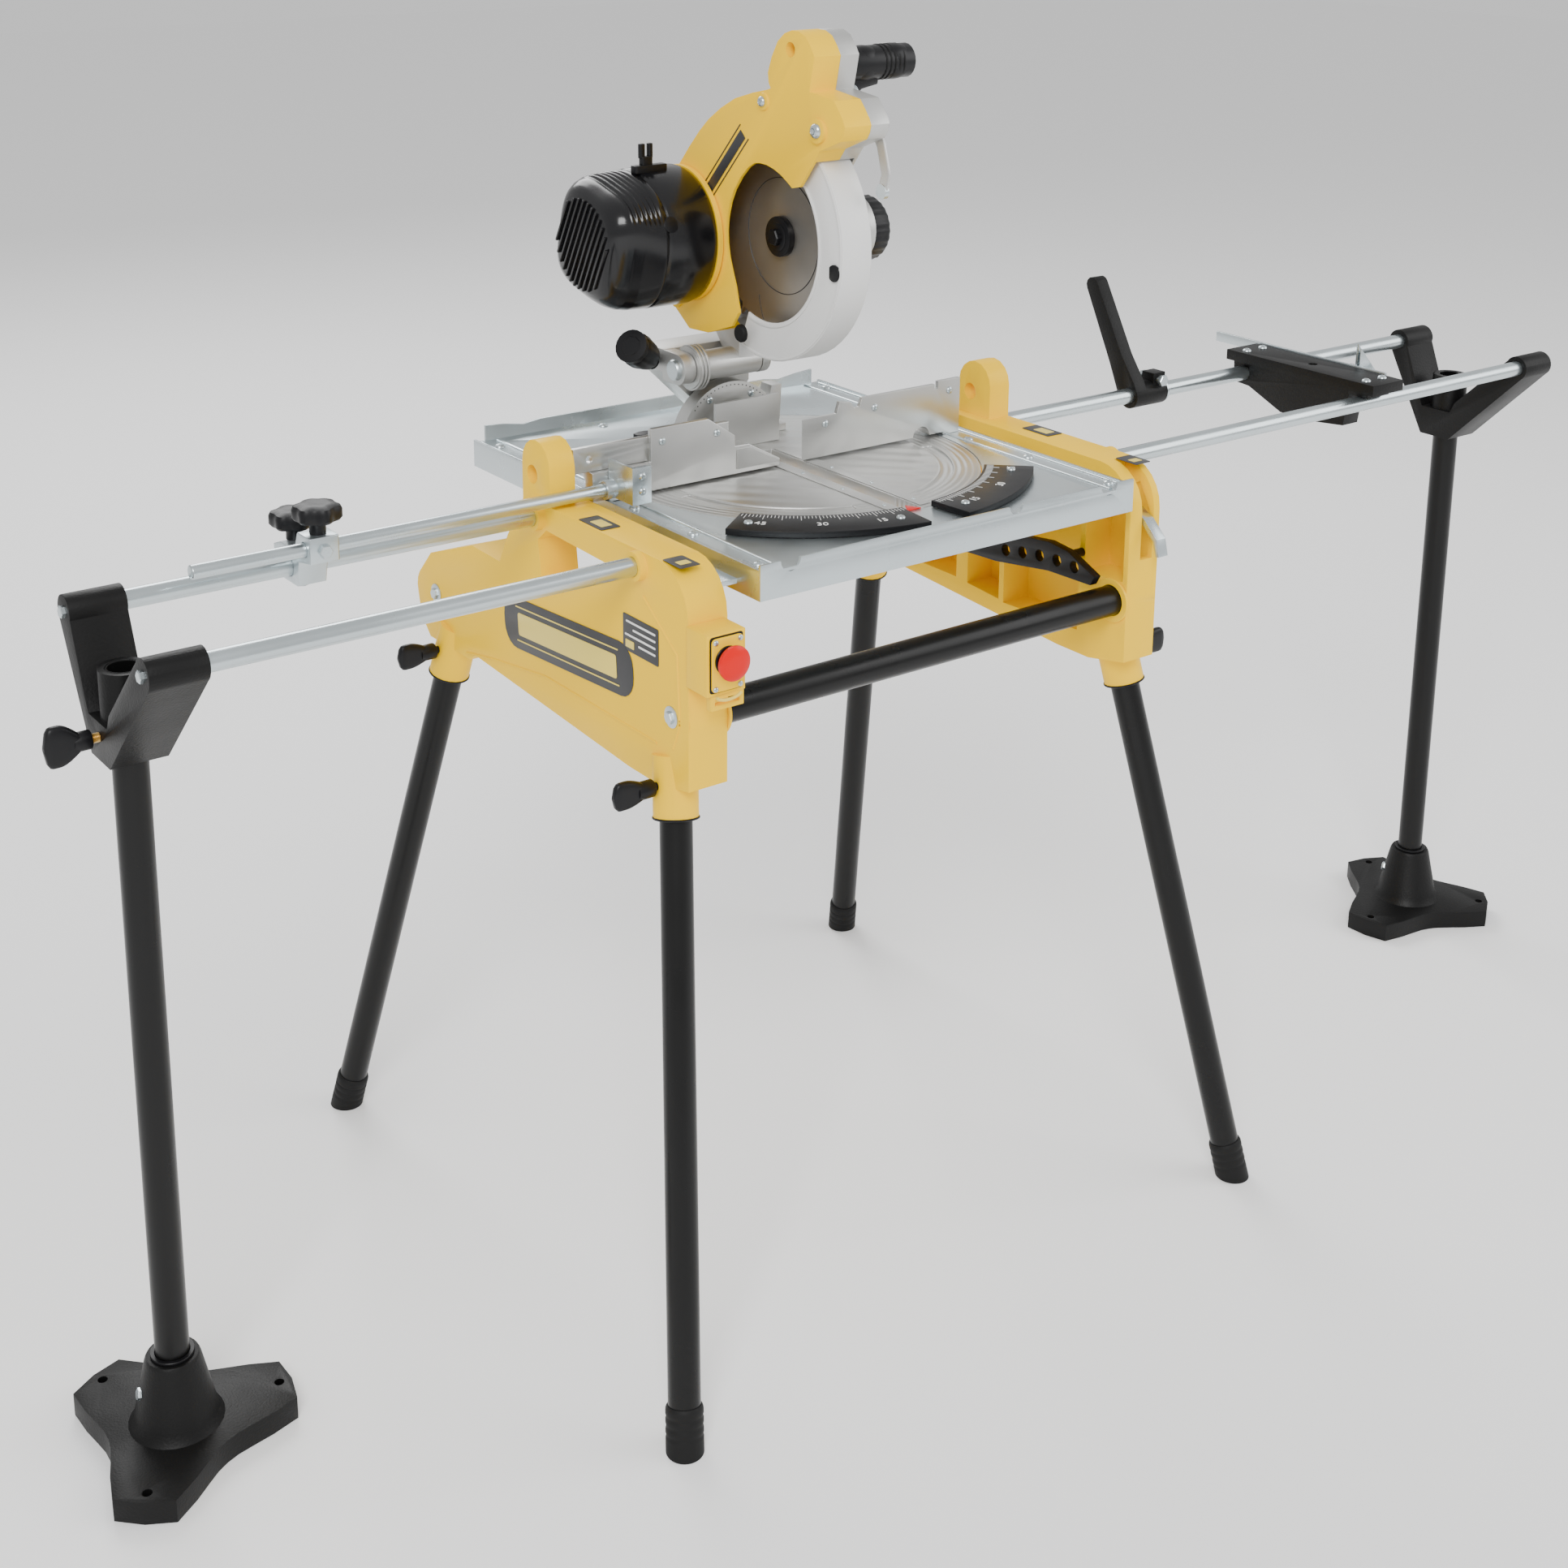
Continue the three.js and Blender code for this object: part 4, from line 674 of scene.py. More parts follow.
class SAW_OT_table(bpy.types.Operator):
    """Deck, turntable with its scale, and the screws that hold them."""

    bl_idname = "saw.table"
    bl_label = "Table"

    def execute(self, context):
        edge = context.scene.saw_sizes.sheet_edge
        for node, kind, width in (("deck", "zinc", 1), ("turntable", "table", 1), ("bevel_base", "cast", 2),
                                  ("mitre_lock", "nylon", 1.5), ("scale_left", "nylon", 1),
                                  ("scale_right", "nylon", 1)):
            rounded(node, kind, edge * width)
        self.scale()
        corners = [(-232, -205), (232, -205), (-232, 292), (232, 292), (-232, 176), (232, 176), (-90, 300),
                   (90, 300), (-232, 12), (222, 12), (-181, -93), (-231, -93), (165, -106), (228, -82)]
        screws("deck_screws", [(x, y, TABLE) for x, y in corners], (0, 0, 1), "stand", size=1.25)
        # Pressed beads stiffen the sheet along both edges.
        run = np.linspace(-221, 318, 30)
        beads = [swept(np.stack([np.full(30, x), run, np.full(30, TABLE + 0.1)], 1), 2.6, 1.5, 16, 2)
                 for x in (-241, -219, 219, 241)]
        keep("deck_beads", merged(*beads), "zinc", "stand")
        rim = [(-100, -150), (100, -150), (-185, 100), (185, 100), (-120, 190), (140, 160)]
        screws("turntable_screws", [(x, y * 0.9 + 4, TABLE) for x, y in rim], (0, 0, 1), "table", size=0.8)
        # Strips beside the kerf stand a little proud of the turntable.
        for x0, x1, word in ((-24, -9.2, "left"), (15.2, 30, "right")):
            strip = block(x0, x1, -149, 108, TABLE + 0.05, TABLE + 1.2, 1.0, 0.4)
            keep(f"kerf_strip_{word}", strip, "cast", "table")
        pointer = slab("z", [(-9, -158), (9, -158), (0, -143)], TABLE + 0.1, TABLE + 1.4, 0.3)
        keep("mitre_pointer", pointer, "red", "table")
        screws("kerf_screws", [(x, y, TABLE + 1.2) for x in (-17, 22.5) for y in (-130, -60, 10)], (0, 0, 1),
               "table", size=0.45)
        # Screws and lines of the bevel scale, on arcs about the bevel axis.
        arch = [(58 * math.cos(a), 169.8, TABLE + 58 * math.sin(a)) for a in np.radians((25, 60, 120, 155))]
        screws("arch_screws", arch, (0, -1, 0), "table", size=0.9)
        ticks = [turned((64 * math.cos(a), 170.05, TABLE + 64 * math.sin(a)), (0, -1, 0),
                        [(0.2, 0), (0.8, 0), (0.8, 0.3), (0.2, 0.3)], 8)
                 for a in np.radians(np.arange(40, 141, 5))]
        keep("bevel_ticks", merged(*ticks), "ink", "table")
        return {"FINISHED"}

    def scale(self):
        """Lines, numbers and screws of the mitre scale, on arcs about the mitre line."""
        long, short, middle = 14.0, 7.5, 238
        tick = slab("z", box_outline(0, 1, -0.35, 0.35, 0.1, 2), 0, 0.35, 0.08)
        for start, end, word in ((219, 264, "left"), (277, 317, "right")):
            degrees = np.arange(start, end + 0.1, 1.0)
            fives = np.round(degrees - 270) % 5 == 0
            parts = []
            for length, chosen in ((long, degrees[fives]), (short, degrees[~fives])):
                a = np.radians(chosen)
                height = np.full(len(a), SCALE_TOP + 0.02)
                places = np.stack([211 * np.cos(a), MITRE_Y + 211 * np.sin(a), height], 1)
                parts.append(scattered((tick[0] * (length, 1, 1), tick[1]), places, turns_about("z", a)))
            keep(f"scale_ticks_{word}", merged(*parts), "label", "stand")
        for value in (-45, -30, -15, 15, 30, 45):
            self.number(value, 270 + value, middle)
        places = [(middle * np.cos(a), MITRE_Y + middle * np.sin(a), SCALE_TOP)
                  for a in np.radians((222, 260, 281, 314))]
        screws("scale_screws", places, (0, 0, 1), "stand")

    def number(self, value, degree, reach):
        """A degree number lying on the scale, facing the front."""
        name = f"scale_number_{degree}"
        curve = bpy.data.curves.new(name, "FONT")
        curve.body = str(abs(value))
        curve.size = 0.0125
        curve.extrude = 0.0002
        curve.align_x = curve.align_y = "CENTER"
        text = bpy.data.objects.new(name, curve)
        bpy.context.scene.collection.objects.link(text)
        bpy.context.view_layer.update()
        mesh = bpy.data.meshes.new_from_object(text.evaluated_get(bpy.context.evaluated_depsgraph_get()))
        bpy.data.objects.remove(text)
        a = math.radians(degree)
        place = placed([reach * math.cos(a), MITRE_Y + reach * math.sin(a), SCALE_TOP + 0.25])
        mesh.transform(Matrix.Translation(Vector(place)) @ Matrix.Rotation(a + math.pi / 2, 4, "Z"))
        finished(name, mesh, "label", "stand")


class SAW_OT_fences(bpy.types.Operator):
    """Both fence halves and the sliding plate."""

    bl_idname = "saw.fences"
    bl_label = "Fences"

    def execute(self, context):
        edge = context.scene.saw_sizes.sheet_edge
        for node in ("fence_left", "fence_right", "fence_slide"):
            rounded(node, "machined", edge)
        screws("fence_screws", [(-240, 68, 860), (-205, 68, 860)], (0, 0, 1), "stand")
        for name, spots in (("fence_face_screws", [(-176, 905), (-106, 903)]),
                            ("fence_right_screws", [(220, 902), (110, 898), (40, 890)])):
            screws(name, [(x, 45, z) for x, z in spots], (0, -1, 0), "stand", size=0.9)
        profile = [(0.2, 0), (7, 0), (9, 2), (9, 9), (7, 11), (0.2, 11)]
        knob = turned((-240, 58.6, 898), (0, 1, 0), profile, 48, 0.06, 8)
        keep("fence_plate_knob", knob, "nylon", "fence_plate")
        strip = slab("y", [(-80, 858), (-26, 858), (-30, 863), (-62, 880.5), (-80, 880.5)], 44.0, 45.0, 0.3)
        keep("fence_wear_strip", strip, "machined", "stand")
        return {"FINISHED"}


# ------------------------------------------------------------------ the head

class SAW_OT_head(bpy.types.Operator):
    """Guard, head casting, belt cover, tilting arm and the grip."""

    bl_idname = "saw.head"
    bl_label = "Head"

    def execute(self, context):
        edge = context.scene.saw_sizes.casting_edge
        for node, kind, width in (("upper_guard", "yellow", 1.4), ("head_casting", "cast", 1),
                                  ("bevel_arm", "cast", 1), ("drive_cover", "cast", 1.2)):
            rounded(node, kind, edge * width)
        spots = [(232, 1138, 11), (60, 1250, 5), (225, 1010, 7)]
        bosses = [turned((-35.6, y, z), (-1, 0, 0),
                         [(0.2, 0), (r + 5, 0), (r + 4, 2.4), (r, 2.8), (0.2, 2.8)], 36) for y, z, r in spots]
        keep("guard_bosses", merged(*bosses), "yellow", "head")
        screws("guard_screws", [(-38.8, y, z) for y, z, r in spots], (-1, 0, 0), "head", size=1.2)
        screws("guard_pivot_screw", [(-40, -36, 1230)], (-1, 0, 0), "head", size=1.7)
        # A plain slanting mark on the guard's face: a bar between two thin lines.
        along = np.array([-74.0, 79.0]) / math.hypot(74, 79)
        away = np.array([along[1], -along[0]])
        turn = np.array([along, away])
        marks = [slab("x", (131, 1175) + box_outline(-reach, reach, low, high, 0.6, 2) @ turn, -36.7, -35.9, 0.15)
                 for reach, low, high in ((54, -11, -9.6), (50, -6, 6), (54, 9.6, 11))]
        keep("guard_mark", merged(*marks), "ink", "head")
        self.drive_side()
        # Tilting arm.
        keep("barrel_nut", hexagon((42, *ARM_AXIS), (1, 0, 0), 11, 8), "zinc", "tilt_arm")
        keep("barrel_head", disc((-76, *ARM_AXIS), (-1, 0, 0), 12, 4, 10.5, 6), "zinc", "tilt_arm")
        ribs = [pipe((x, *ARM_AXIS), (x + 2.6, *ARM_AXIS), 26.2, 2.4) for x in (-59, -54.5, -50)]
        keep("barrel_ribs", merged(*ribs), "cast", "head")
        keep("rest_bumper", disc((-36, 97, 993), (-1, 0, 0), 10, 3, 8.5, 5, 36), "rubber", "head")
        self.grip()
        self.guard_link()
        return {"FINISHED"}

    def drive_side(self):
        """Belt cover's screws, its stepped boss and the cap on the spindle's end."""
        y, z = BLADE[1:]
        spots = [(y + 34 * math.cos(a), z + 34 * math.sin(a)) for a in np.radians((140, 220))]
        spots += [(MOTOR[1] + 38 * math.cos(a), MOTOR[2] + 38 * math.sin(a))
                  for a in np.radians((-60, 0, 60))]
        screws("cover_screws", [(60, *spot) for spot in spots if abs(spot[0] - y) > 39 or spot[0] < 34],
               (1, 0, 0), "head")
        steps = [pipe((x, y, z), (x + 3, y, z), 39.4, 1.8, 64) for x in (66, 76, 86)]
        keep("boss_ribs", merged(*steps), "cast", "head")
        profile = [(0.2, 0), (35, 0), (36, 1), (36, 18), (33, 23), (24, 25), (10, 25.4), (0.2, 25.4)]
        cap = turned((98.3, y, z - 2), (1, 0, 0), profile, 96, 0.012, 24)
        keep("drive_end_cap", cap, "nylon", "head", ("drive_cap",))
        keep("drive_end_screw", hexagon((123.4, y, z - 2), (1, 0, 0), 7, 2.2), "zinc", "head")

    def grip(self):
        """Grip along X with a waist and a swollen end, and its trigger."""
        t = np.linspace(0, 1, 40)
        x = 22.5 + 101.5 * t
        y, z = 22.0, 1288.0
        swell = 17.2 + 1.2 * np.cos(t * np.pi * 5) + 1.2 * t
        ends = np.sqrt(np.clip(1 - np.clip((t - 0.93) / 0.07, 0, 1) ** 2, 0.04, 1))
        flare = 1.6 * np.exp(-((t - 0.03) / 0.03) ** 2)
        path = np.stack([x, np.full(40, y), np.full(40, z)], 1)
        body = swept(path, (swell * 0.95 + flare) * ends, (swell + flare) * ends, 40, 2.3)
        keep("grip_body", body, "nylon", "head")
        rounded("grip", "nylon", 0.0012)
        rounded("trigger", "gloss", 0.0012)
        rings = [pipe((start, y, z), (start + 2.2, y, z), 19.2, 2.4) for start in (84, 90, 96, 102, 108)]
        keep("grip_rings", merged(*rings), "rubber", "head")

    def guard_link(self):
        """Link that swings the lower guard: a bent strip from the neck to the guard's edge."""
        path = np.array([(24, -12, 1262), (25, -36, 1243), (26, -60, 1216), (25, -71, 1184),
                         (24.5, -66, 1164)])
        t = np.linspace(0, 1, 5)
        fine = np.linspace(0, 1, 24)
        smooth = np.stack([np.interp(fine, t, path[:, k]) for k in range(3)], 1)
        shape = swept(smooth, 6.5, 1.8, 20, 4, tilt=(1, 0, 0))
        keep("guard_link", shape, "cast", "head")
        pins = merged(disc((22.2, -12, 1262), (1, 0, 0), 9, 5, 7, 6.4),
                      disc((22.2, -66, 1166), (1, 0, 0), 8, 5, 6, 6.4))
        keep("guard_link_pins", pins, "zinc", "head")


class SAW_OT_motor(bpy.types.Operator):
    """Motor housing with its louvres, clip, collar and brush caps, and the rotor inside."""

    bl_idname = "saw.motor"
    bl_label = "Motor"

    def execute(self, context):
        x = -44.3
        y, z = MOTOR[1:]
        self.shell(x, y, z)
        ribs = []
        lean = np.array([[math.cos(0.5), math.sin(0.5)], [-math.sin(0.5), math.cos(0.5)]])
        for offset in np.linspace(-44, 44, 11):
            half = math.sqrt(52.0 ** 2 - offset ** 2) * 0.97
            outline = box_outline(offset - 1.5, offset + 1.5, -half, half, 1.4, 4) @ lean + (y, z)
            ribs.append(slab("x", outline, x - 130.2, x - 126.6, 0.8))
        keep("motor_louvres", merged(*ribs), "gloss", "head")
        clip = [block(x0, x1, y + y0, y + y1, z + z0, z + z1, corner) for x0, x1, y0, y1, z0, z1, corner in (
            (-112, -70, -16, -4, 74, 82.5, 3), (-102, -88, -14, -6, 80, 92, 2),
            (-104, -97, -13, -7, 90, 106, 2), (-93, -87, -13, -7, 90, 106, 2))]
        keep("motor_clip", merged(*clip), "nylon", "head")
        keep("motor_collar", pipe((-44.2, y, z), (-38, y, z), 77, 8, 96), "yellow", "head")
        brush = [disc((x - 60, y + 76 * math.cos(a), z + 76 * math.sin(a)), (0, math.cos(a), math.sin(a)),
                      9, 2.0, 8, 2.6) for a in np.radians((160, -20))]
        keep("brush_caps", merged(*brush), "nylon", "head")
        rounded("motor_armature", "steel", 0.0008)
        return {"FINISHED"}

    def shell(self, x, y, z):
        """Housing turned about the motor's axis. Its far half squares off, and grooves round its upper front
        follow a cosine of the depth."""
        marks = [0, 0.8, 4, 8, 60, 63, 66, 92, 104, 114, 121, 125, 127, 127.7]
        widths = [72, 75, 77, 78.4, 78.8, 77.4, 78.8, 78.6, 76.5, 72, 66.5, 61, 55, 0.2]
        d = np.concatenate([marks[:5], [61, 63, 65, 66], np.linspace(68, 108, 60),
                            [114, 118, 121, 123.5, 125, 126.4, 127, 127.7]])
        outside = np.stack([np.interp(d, marks, widths), d], 1)
        inside = [(0.2, 121), (50, 108), (62, 88), (66, 55)]
        points, faces = turned((x, y, z), (-1, 0, 0), np.concatenate([[(66, 0)], outside, inside]), 120)
        away = points - (x, y, z)
        depth = -away[:, 0]
        radius = np.hypot(away[:, 1], away[:, 2])
        angle = np.arctan2(away[:, 2], away[:, 1])
        power = np.interp(depth, [52, 102], [2.0, 3.6])
        corner = np.abs(np.cos(angle - 0.25)) ** power + np.abs(np.sin(angle - 0.25)) ** power
        squared = corner ** (-1 / power) / 2 ** (0.5 - 1 / power)
        band = np.clip((depth - 69) / 4, 0, 1) * np.clip((108 - depth) / 4, 0, 1) * (radius > 64)
        band = band * np.clip((0.85 - np.abs(angle - 1.9)) / 0.15, 0, 1)
        scale = squared * (1 - 0.03 * band * (0.5 + 0.5 * np.cos(depth * 2 * np.pi / 6.0)))
        points[:, 1:] = (y, z) + away[:, 1:] * scale[:, None]
        keep("motor_shell", (points, faces), "gloss", "head", ("motor_housing",))


class SAW_OT_blade(bpy.types.Operator):
    """Toothed blade with its slots, the spindle and the swinging guard."""

    bl_idname = "saw.blade"
    bl_label = "Blade"

    def execute(self, context):
        teeth = context.scene.saw_sizes.blade_teeth
        y, z = BLADE[1:]
        pitch = 2 * np.pi / teeth
        fractions = np.array([0.0, 0.10, 0.2, 0.34, 0.5, 0.68, 0.86])
        radii = np.array([124.6, 123.4, 121.6, 116.0, 113.8, 114.4, 117.0])
        angle = (np.arange(teeth)[:, None] + fractions[None, :]).ravel() * pitch
        radius = np.tile(radii, teeth)
        outline = np.stack([y + radius * np.cos(angle), z + radius * np.sin(angle)], 1)
        hole = arc(y, z, 8.1, 0, 360, len(outline) + 1)[:-1]
        rings = np.zeros((4, len(outline), 3))
        for i, (ring, x) in enumerate(((hole, -1.0), (outline, -1.0), (outline, 1.0), (hole, 1.0))):
            rings[i, :, 0] = x
            rings[i, :, 1:] = ring
        body = rings.reshape(-1, 3), grid_faces(4, len(outline), wrap_rows=True).tolist()
        keep("blade_plate", body, "steel", "saw_blade", ("blade",), sharp=30)
        tip = slab("x", [(113.6, -4.4), (124.8, -1.6), (124.2, 1.4), (115.4, 1.2)], -1.28, 1.28, 0.12, 2)
        turns = turns_about("x", np.arange(teeth) * pitch)
        keep("blade_tips", scattered(tip, np.tile(BLADE, (teeth, 1)), turns), "carbide", "saw_blade")
        faces = ((-1, "left"), (1, "right"))
        for number, start in enumerate((15, 105, 195, 285)):
            curve = np.radians(start + np.linspace(0, 16, 14))
            run = np.linspace(112, 84, 14)
            path = np.stack([np.zeros(14), y + run * np.cos(curve), z + run * np.sin(curve)], 1)
            for side, word in faces:
                line = swept(path + (side * 1.02, 0, 0), 0.05, 0.55, 10, 2, tilt=(1, 0, 0))
                keep(f"blade_slot_{number}_{word}", line, "ink", "saw_blade")
        for side, word in faces:
            ring = pipe((side - 0.05, y, z), (side + 0.05, y, z), 64, 0.9, 96)
            keep(f"blade_ring_{word}", ring, "ink", "saw_blade")
        rounded("spindle", "nylon", 0.0007)
        keep("spindle_washer", disc((-8.2, y, z), (-1, 0, 0), 15, 1, 13, 1.6, 48), "nylon", "saw_blade")
        keep("spindle_bolt", hexagon((-9.6, y, z), (-1, 0, 0), 9.5, 6.5), "nylon", "saw_blade")
        rounded("lower_guard", "grey", 0.0007)
        ribs = [slab("x", np.concatenate([arc(y, z, high, 132, 288, 60), arc(y, z, high - 3, 288, 132, 60)]),
                     x, -23.8, 0.4) for high, x in ((97, -25.4), (132.6, -25.2))]
        keep("guard_ribs", merged(*ribs), "grey", "blade_guard")
        keep("guard_lug", slab("x", arc(-51, 1083, 9, 40, 320, 18), -27, -23.9, 0.6), "nylon", "blade_guard")
        return {"FINISHED"}


class SAW_OT_controls(bpy.types.Operator):
    """Switch box, stop button, release lever, bevel lever and push stick."""

    bl_idname = "saw.controls"
    bl_label = "Controls"

    def execute(self, context):
        rounded("switch_box", "yellow", 0.002)
        self.stop_switch()
        rounded("release_lever", "zinc", 0.0008)
        keep("release_pin", bar((283.5, -172, 806), (286, -172, 806), 4, 24, 0.4), "zinc", "stand")
        rounded("bevel_lever", "nylon", 0.001)
        start, end = np.array([-101, 186, 957.0]), np.array([-135, 168, 978.0])
        length = np.linalg.norm(end - start)
        t = np.linspace(0, 1, 14)
        r = 14.2 + 4.6 * np.sin(np.clip(t / 0.55, 0, 1) * np.pi / 2) - 8.5 * np.clip((t - 0.7) / 0.3, 0, 1) ** 2
        profile = [(0.2, -0.6), *zip(r, t * (length + 1.2) - 0.6), (0.2, length + 0.9)]
        keep("bevel_knob", turned(start, end - start, profile, 64, 0.03, 10), "nylon", "tilt_lever")
        rounded("push_stick", "nylon", 0.001)
        bracket = merged(block(246.8, 267.6, -150, -96, 836, 839, 2, 0.6),
                         block(243.5, 246.4, -150, -96, 812, 839, 2, 0.6))
        keep("latch_bracket", bracket, "zinc", "stand")
        screws("latch_bolts", [(243.4, -136, 824), (243.4, -110, 824)], (-1, 0, 0), "stand", size=1.3)
        return {"FINISHED"}

    def stop_switch(self):
        """Mushroom button with its collar, plate, latch and screws on the switch box's front."""
        x, z, face, front = -295, 780, -246.0, -243.2
        profile = [(0.2, 0), (6, 0), (7, 5), (17.0, 6.4), (17.5, 8), (17.2, 10), (14.5, 11.8), (8, 12.8),
                   (0.2, 13)]
        button = merged(turned((x, face, z), (0, -1, 0), profile, 64),
                        bar((x, face - 0.2, z), (x, -227, z), 7.9, 40, 0.6))
        keep("stop_mushroom", button, "red", "stop_switch", ("stop_button",))
        keep("stop_collar", pipe((x, -242.6, z), (x, -244.6, z), 14, 5.4), "nylon", "stand")
        # A thin black sheet behind the plate, showing 1.5 mm round its edge: painted shade in the gap between the
        # plate and the switch box.
        gap = slab("y", box_outline(-313, -275, 748, 804, 3), -240.3, -239.9, 0.1)
        keep("switch_gap", gap, "nylon", "stand")
        plate = slab("y", box_outline(-311.5, -276.5, 749.5, 802.5, 4), front, -240.2, 0.8)
        keep("switch_plate", plate, "yellow", "stand")
        reach = np.linspace(-14, 14, 20)
        path = np.stack([-294 + reach, np.full(20, -244.5), 747 - 6 * np.sqrt(1 - (reach / 14.5) ** 2)], 1)
        latch = swept(path, 1.6, 1.6, 14, 2, tilt=(0, 1, 0))
        keep("switch_latch", latch, "amber", "stand")
        screws("switch_screws", [(u, front, v) for v in (753, 799) for u in (-308, -280)], (0, -1, 0), "stand",
               size=0.6)


class SAW_OT_accessories(bpy.types.Operator):
    """Length stop on the left rails, swing stop and work support on the right rails."""

    bl_idname = "saw.accessories"
    bl_label = "Rail accessories"

    def execute(self, context):
        self.length_stop()
        rounded("swivel_stop", "wrinkle", 0.0015)
        bolt = merged(bar((581, 54, 859), (581, 86, 859), 4.4, 24, 0.6),
                      hexagon((581, 55, 859), (0, -1, 0), 7.5, 5), hexagon((581, 85, 859), (0, 1, 0), 7.5, 5))
        keep("swing_stop_bolt", bolt, "zinc", "swing_stop")
        keep("swing_stop_washer", pipe((592.3, 70, RAIL_Z), (596, 70, RAIL_Z), 15, 5), "zinc", "swing_stop")
        rounded("support_bar", "wrinkle", 0.0015)
        spacers = merged(*[block(791.2, 794.2, y, y + 20, 862, 870) for y in (-60, 20)])
        ribs = [slab("y", [(798 + 3 * k, 858.5), (834 - 4 * k, 859.5), (799 + 3 * k, 896 - 6 * k)], -76 + 2.2 * k,
                     -75 + 2.2 * k, 0.3) for k in range(3)]
        fin = merged(slab("y", [(798, 858), (838, 860), (799, 901)], -72, -69, 0.5), *ribs)
        for name, shape in (("strip", block(794, 797.5, -120, 162, 861, 874, 1, 0.5)), ("spacer", spacers),
                            ("fin", fin), ("fin_foot", block(797.2, 800.4, -80, -60, 862, 874, 1, 0.4))):
            keep(f"support_{name}", shape, "zinc", "work_support")
        screws("support_screws", [(x, y, 872) for y in (66, -128) for x in (748, 778)], (0, 0, 1),
               "work_support", size=1.2)
        return {"FINISHED"}

    def length_stop(self):
        """Rod with its end plate, and the clamp that carries it."""
        y, z = 34, 868
        keep("stop_bar_rod", bar((-700, y, z), (-243, y, z), 7, 40), "zinc", "stop_bar", ("stop_rod",))
        rounded("stop_plate", "zinc", 0.0006)
        rounded("stop_clamp", "zinc", 0.0012)
        screws("stop_plate_screws", [(-232, -3, 872), (-232, -3, 888)], (0, -1, 0), "stop_bar", size=0.9)
        nuts = merged(hexagon((-573, 20, z), (0, -1, 0), 7, 5), hexagon((-573, 75, 826), (0, 0, -1), 8, 7))
        keep("stop_clamp_nuts", nuts, "zinc", "stop_carrier")


# ------------------------------------------------------------------ stage

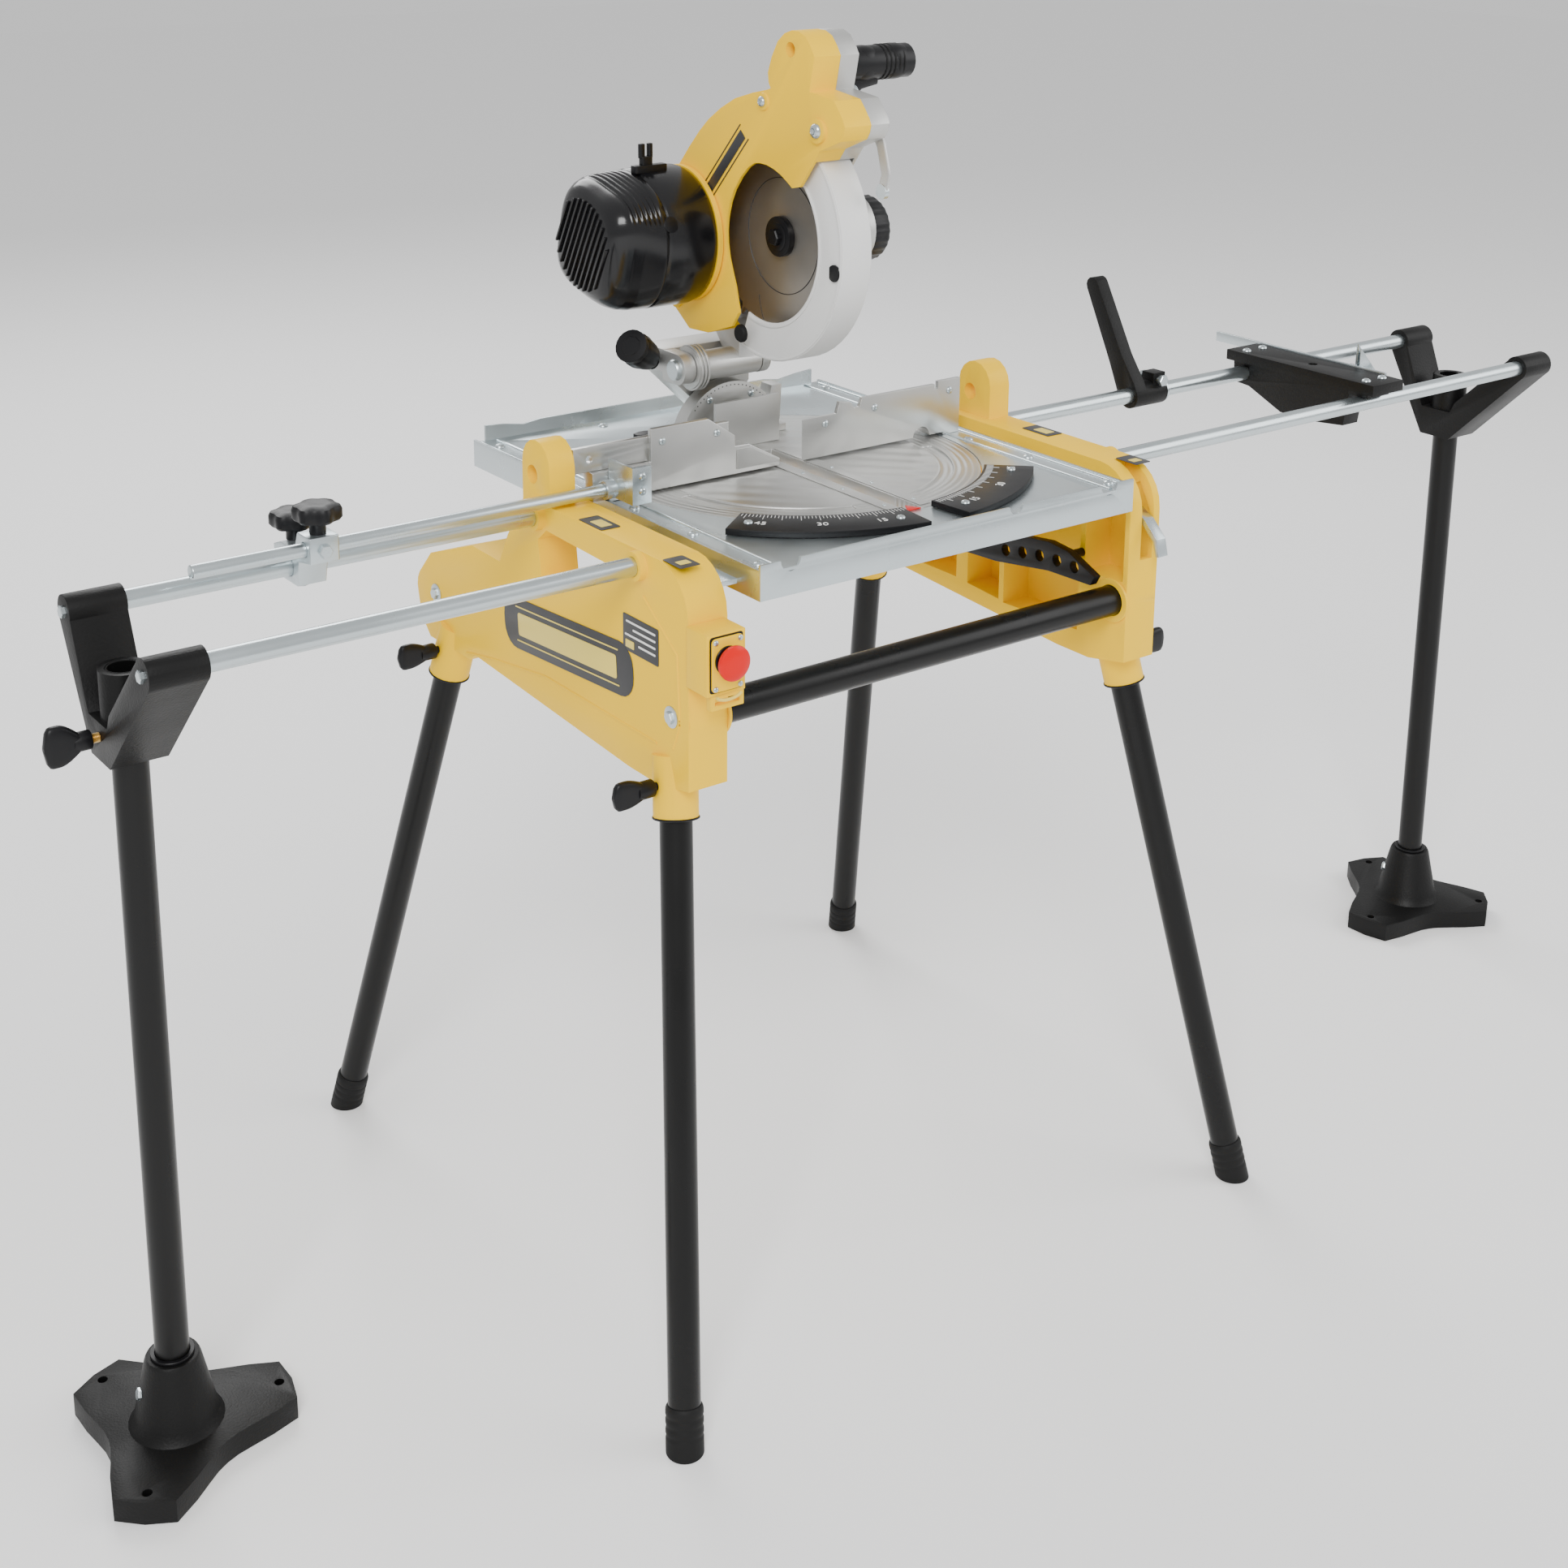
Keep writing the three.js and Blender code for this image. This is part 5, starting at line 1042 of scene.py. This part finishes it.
class SAW_OT_stage(bpy.types.Operator):
    """Pale floor, soft lights and the camera."""

    bl_idname = "saw.stage"
    bl_label = "Stage"

    def execute(self, context):
        scene = context.scene
        mesh = bpy.data.meshes.new("floor")
        reach, drop = 14.0, -0.0005
        corners = [(-reach, -reach, drop), (reach, -reach, drop), (reach, reach, drop), (-reach, reach, drop)]
        mesh.from_pydata(corners, [], [[0, 1, 2, 3]])
        floor = bpy.data.objects.new("floor", mesh)
        material = bpy.data.materials.new("pale_floor")
        material.use_nodes = True
        shader = material.node_tree.nodes["Principled BSDF"]
        feed(None, shader, {"Base Color": scene.saw_finishes.floor, "Roughness": 0.8})
        mesh.materials.append(material)
        scene.collection.objects.link(floor)
        world = bpy.data.worlds.new("soft_sky")
        world.use_nodes = True
        feed(None, world.node_tree.nodes["Background"], {"Color": (1, 1, 1, 1), "Strength": 0.78})
        scene.world = world
        aim = Vector((0, 0, 0.75))
        for name, place, power, size in (
                ("key_light", (-3.2, -3.4, 4.2), 250, 2.2), ("fill_light", (3.4, -2.6, 2.8), 90, 3.0),
                ("back_light", (0.6, 3.8, 3.6), 120, 2.4)):
            light = bpy.data.lights.new(name, "AREA")
            light.energy = power
            light.size = size
            lamp = bpy.data.objects.new(name, light)
            lamp.location = place
            lamp.rotation_euler = (aim - Vector(place)).to_track_quat("-Z", "Y").to_euler()
            scene.collection.objects.link(lamp)
        self.camera(scene)
        return {"FINISHED"}

    def camera(self, scene):
        """Camera from its place, and its heading, dip and roll in radians."""
        place = (-1412.13, -1828.02, 1542.55)
        heading, dip, roll = 0.6385, 0.2546, 0.0081
        level = math.cos(dip)
        forward = np.array([math.sin(heading) * level, math.cos(heading) * level, -math.sin(dip)])
        right = np.array([math.cos(heading), -math.sin(heading), 0.0])
        up = np.cross(right, forward)
        c, s = math.cos(roll), math.sin(roll)
        right, up = c * right + s * up, -s * right + c * up
        data = bpy.data.cameras.new("camera")
        data.sensor_width = 36.0
        data.lens = 50.99
        data.shift_x = 0.0022
        data.shift_y = -0.25
        data.clip_end = 60
        camera = bpy.data.objects.new("camera", data)
        turn = np.eye(4)
        turn[:3, 0], turn[:3, 1], turn[:3, 2] = right, up, -forward
        turn[:3, 3] = placed(place)
        camera.matrix_world = Matrix(turn.tolist())
        scene.collection.objects.link(camera)
        scene.camera = camera


# ------------------------------------------------------------------ panel and registration

STEPS = (SAW_OT_castings, SAW_OT_tubes, SAW_OT_feet, SAW_OT_clamps, SAW_OT_rail_ends, SAW_OT_table,
         SAW_OT_fences, SAW_OT_head, SAW_OT_motor, SAW_OT_blade, SAW_OT_controls, SAW_OT_accessories, SAW_OT_stage)


class SAW_PT_panel(bpy.types.Panel):
    """Buttons for the pieces of the saw, with their sizes and colours."""

    bl_idname = "SAW_PT_panel"
    bl_label = "Mitre saw"
    bl_space_type = "VIEW_3D"
    bl_region_type = "UI"
    bl_category = "Saw"

    def draw(self, context):
        layout = self.layout
        for settings in (context.scene.saw_sizes, context.scene.saw_finishes):
            column = layout.column()
            for key in settings.__annotations__:
                column.prop(settings, key)
        for step in STEPS:
            layout.operator(step.bl_idname)


CLASSES = (SawFinishes, SawSizes, *STEPS, SAW_PT_panel)


def register():
    for each in CLASSES:
        bpy.utils.register_class(each)
    bpy.types.Scene.saw_finishes = bpy.props.PointerProperty(type=SawFinishes)
    bpy.types.Scene.saw_sizes = bpy.props.PointerProperty(type=SawSizes)


def unregister():
    del bpy.types.Scene.saw_sizes
    del bpy.types.Scene.saw_finishes
    for each in reversed(CLASSES):
        bpy.utils.unregister_class(each)


def main():
    register()
    for step in STEPS:
        area, name = step.bl_idname.split(".")
        getattr(getattr(bpy.ops, area), name)()


if __name__ == "__main__":
    main()
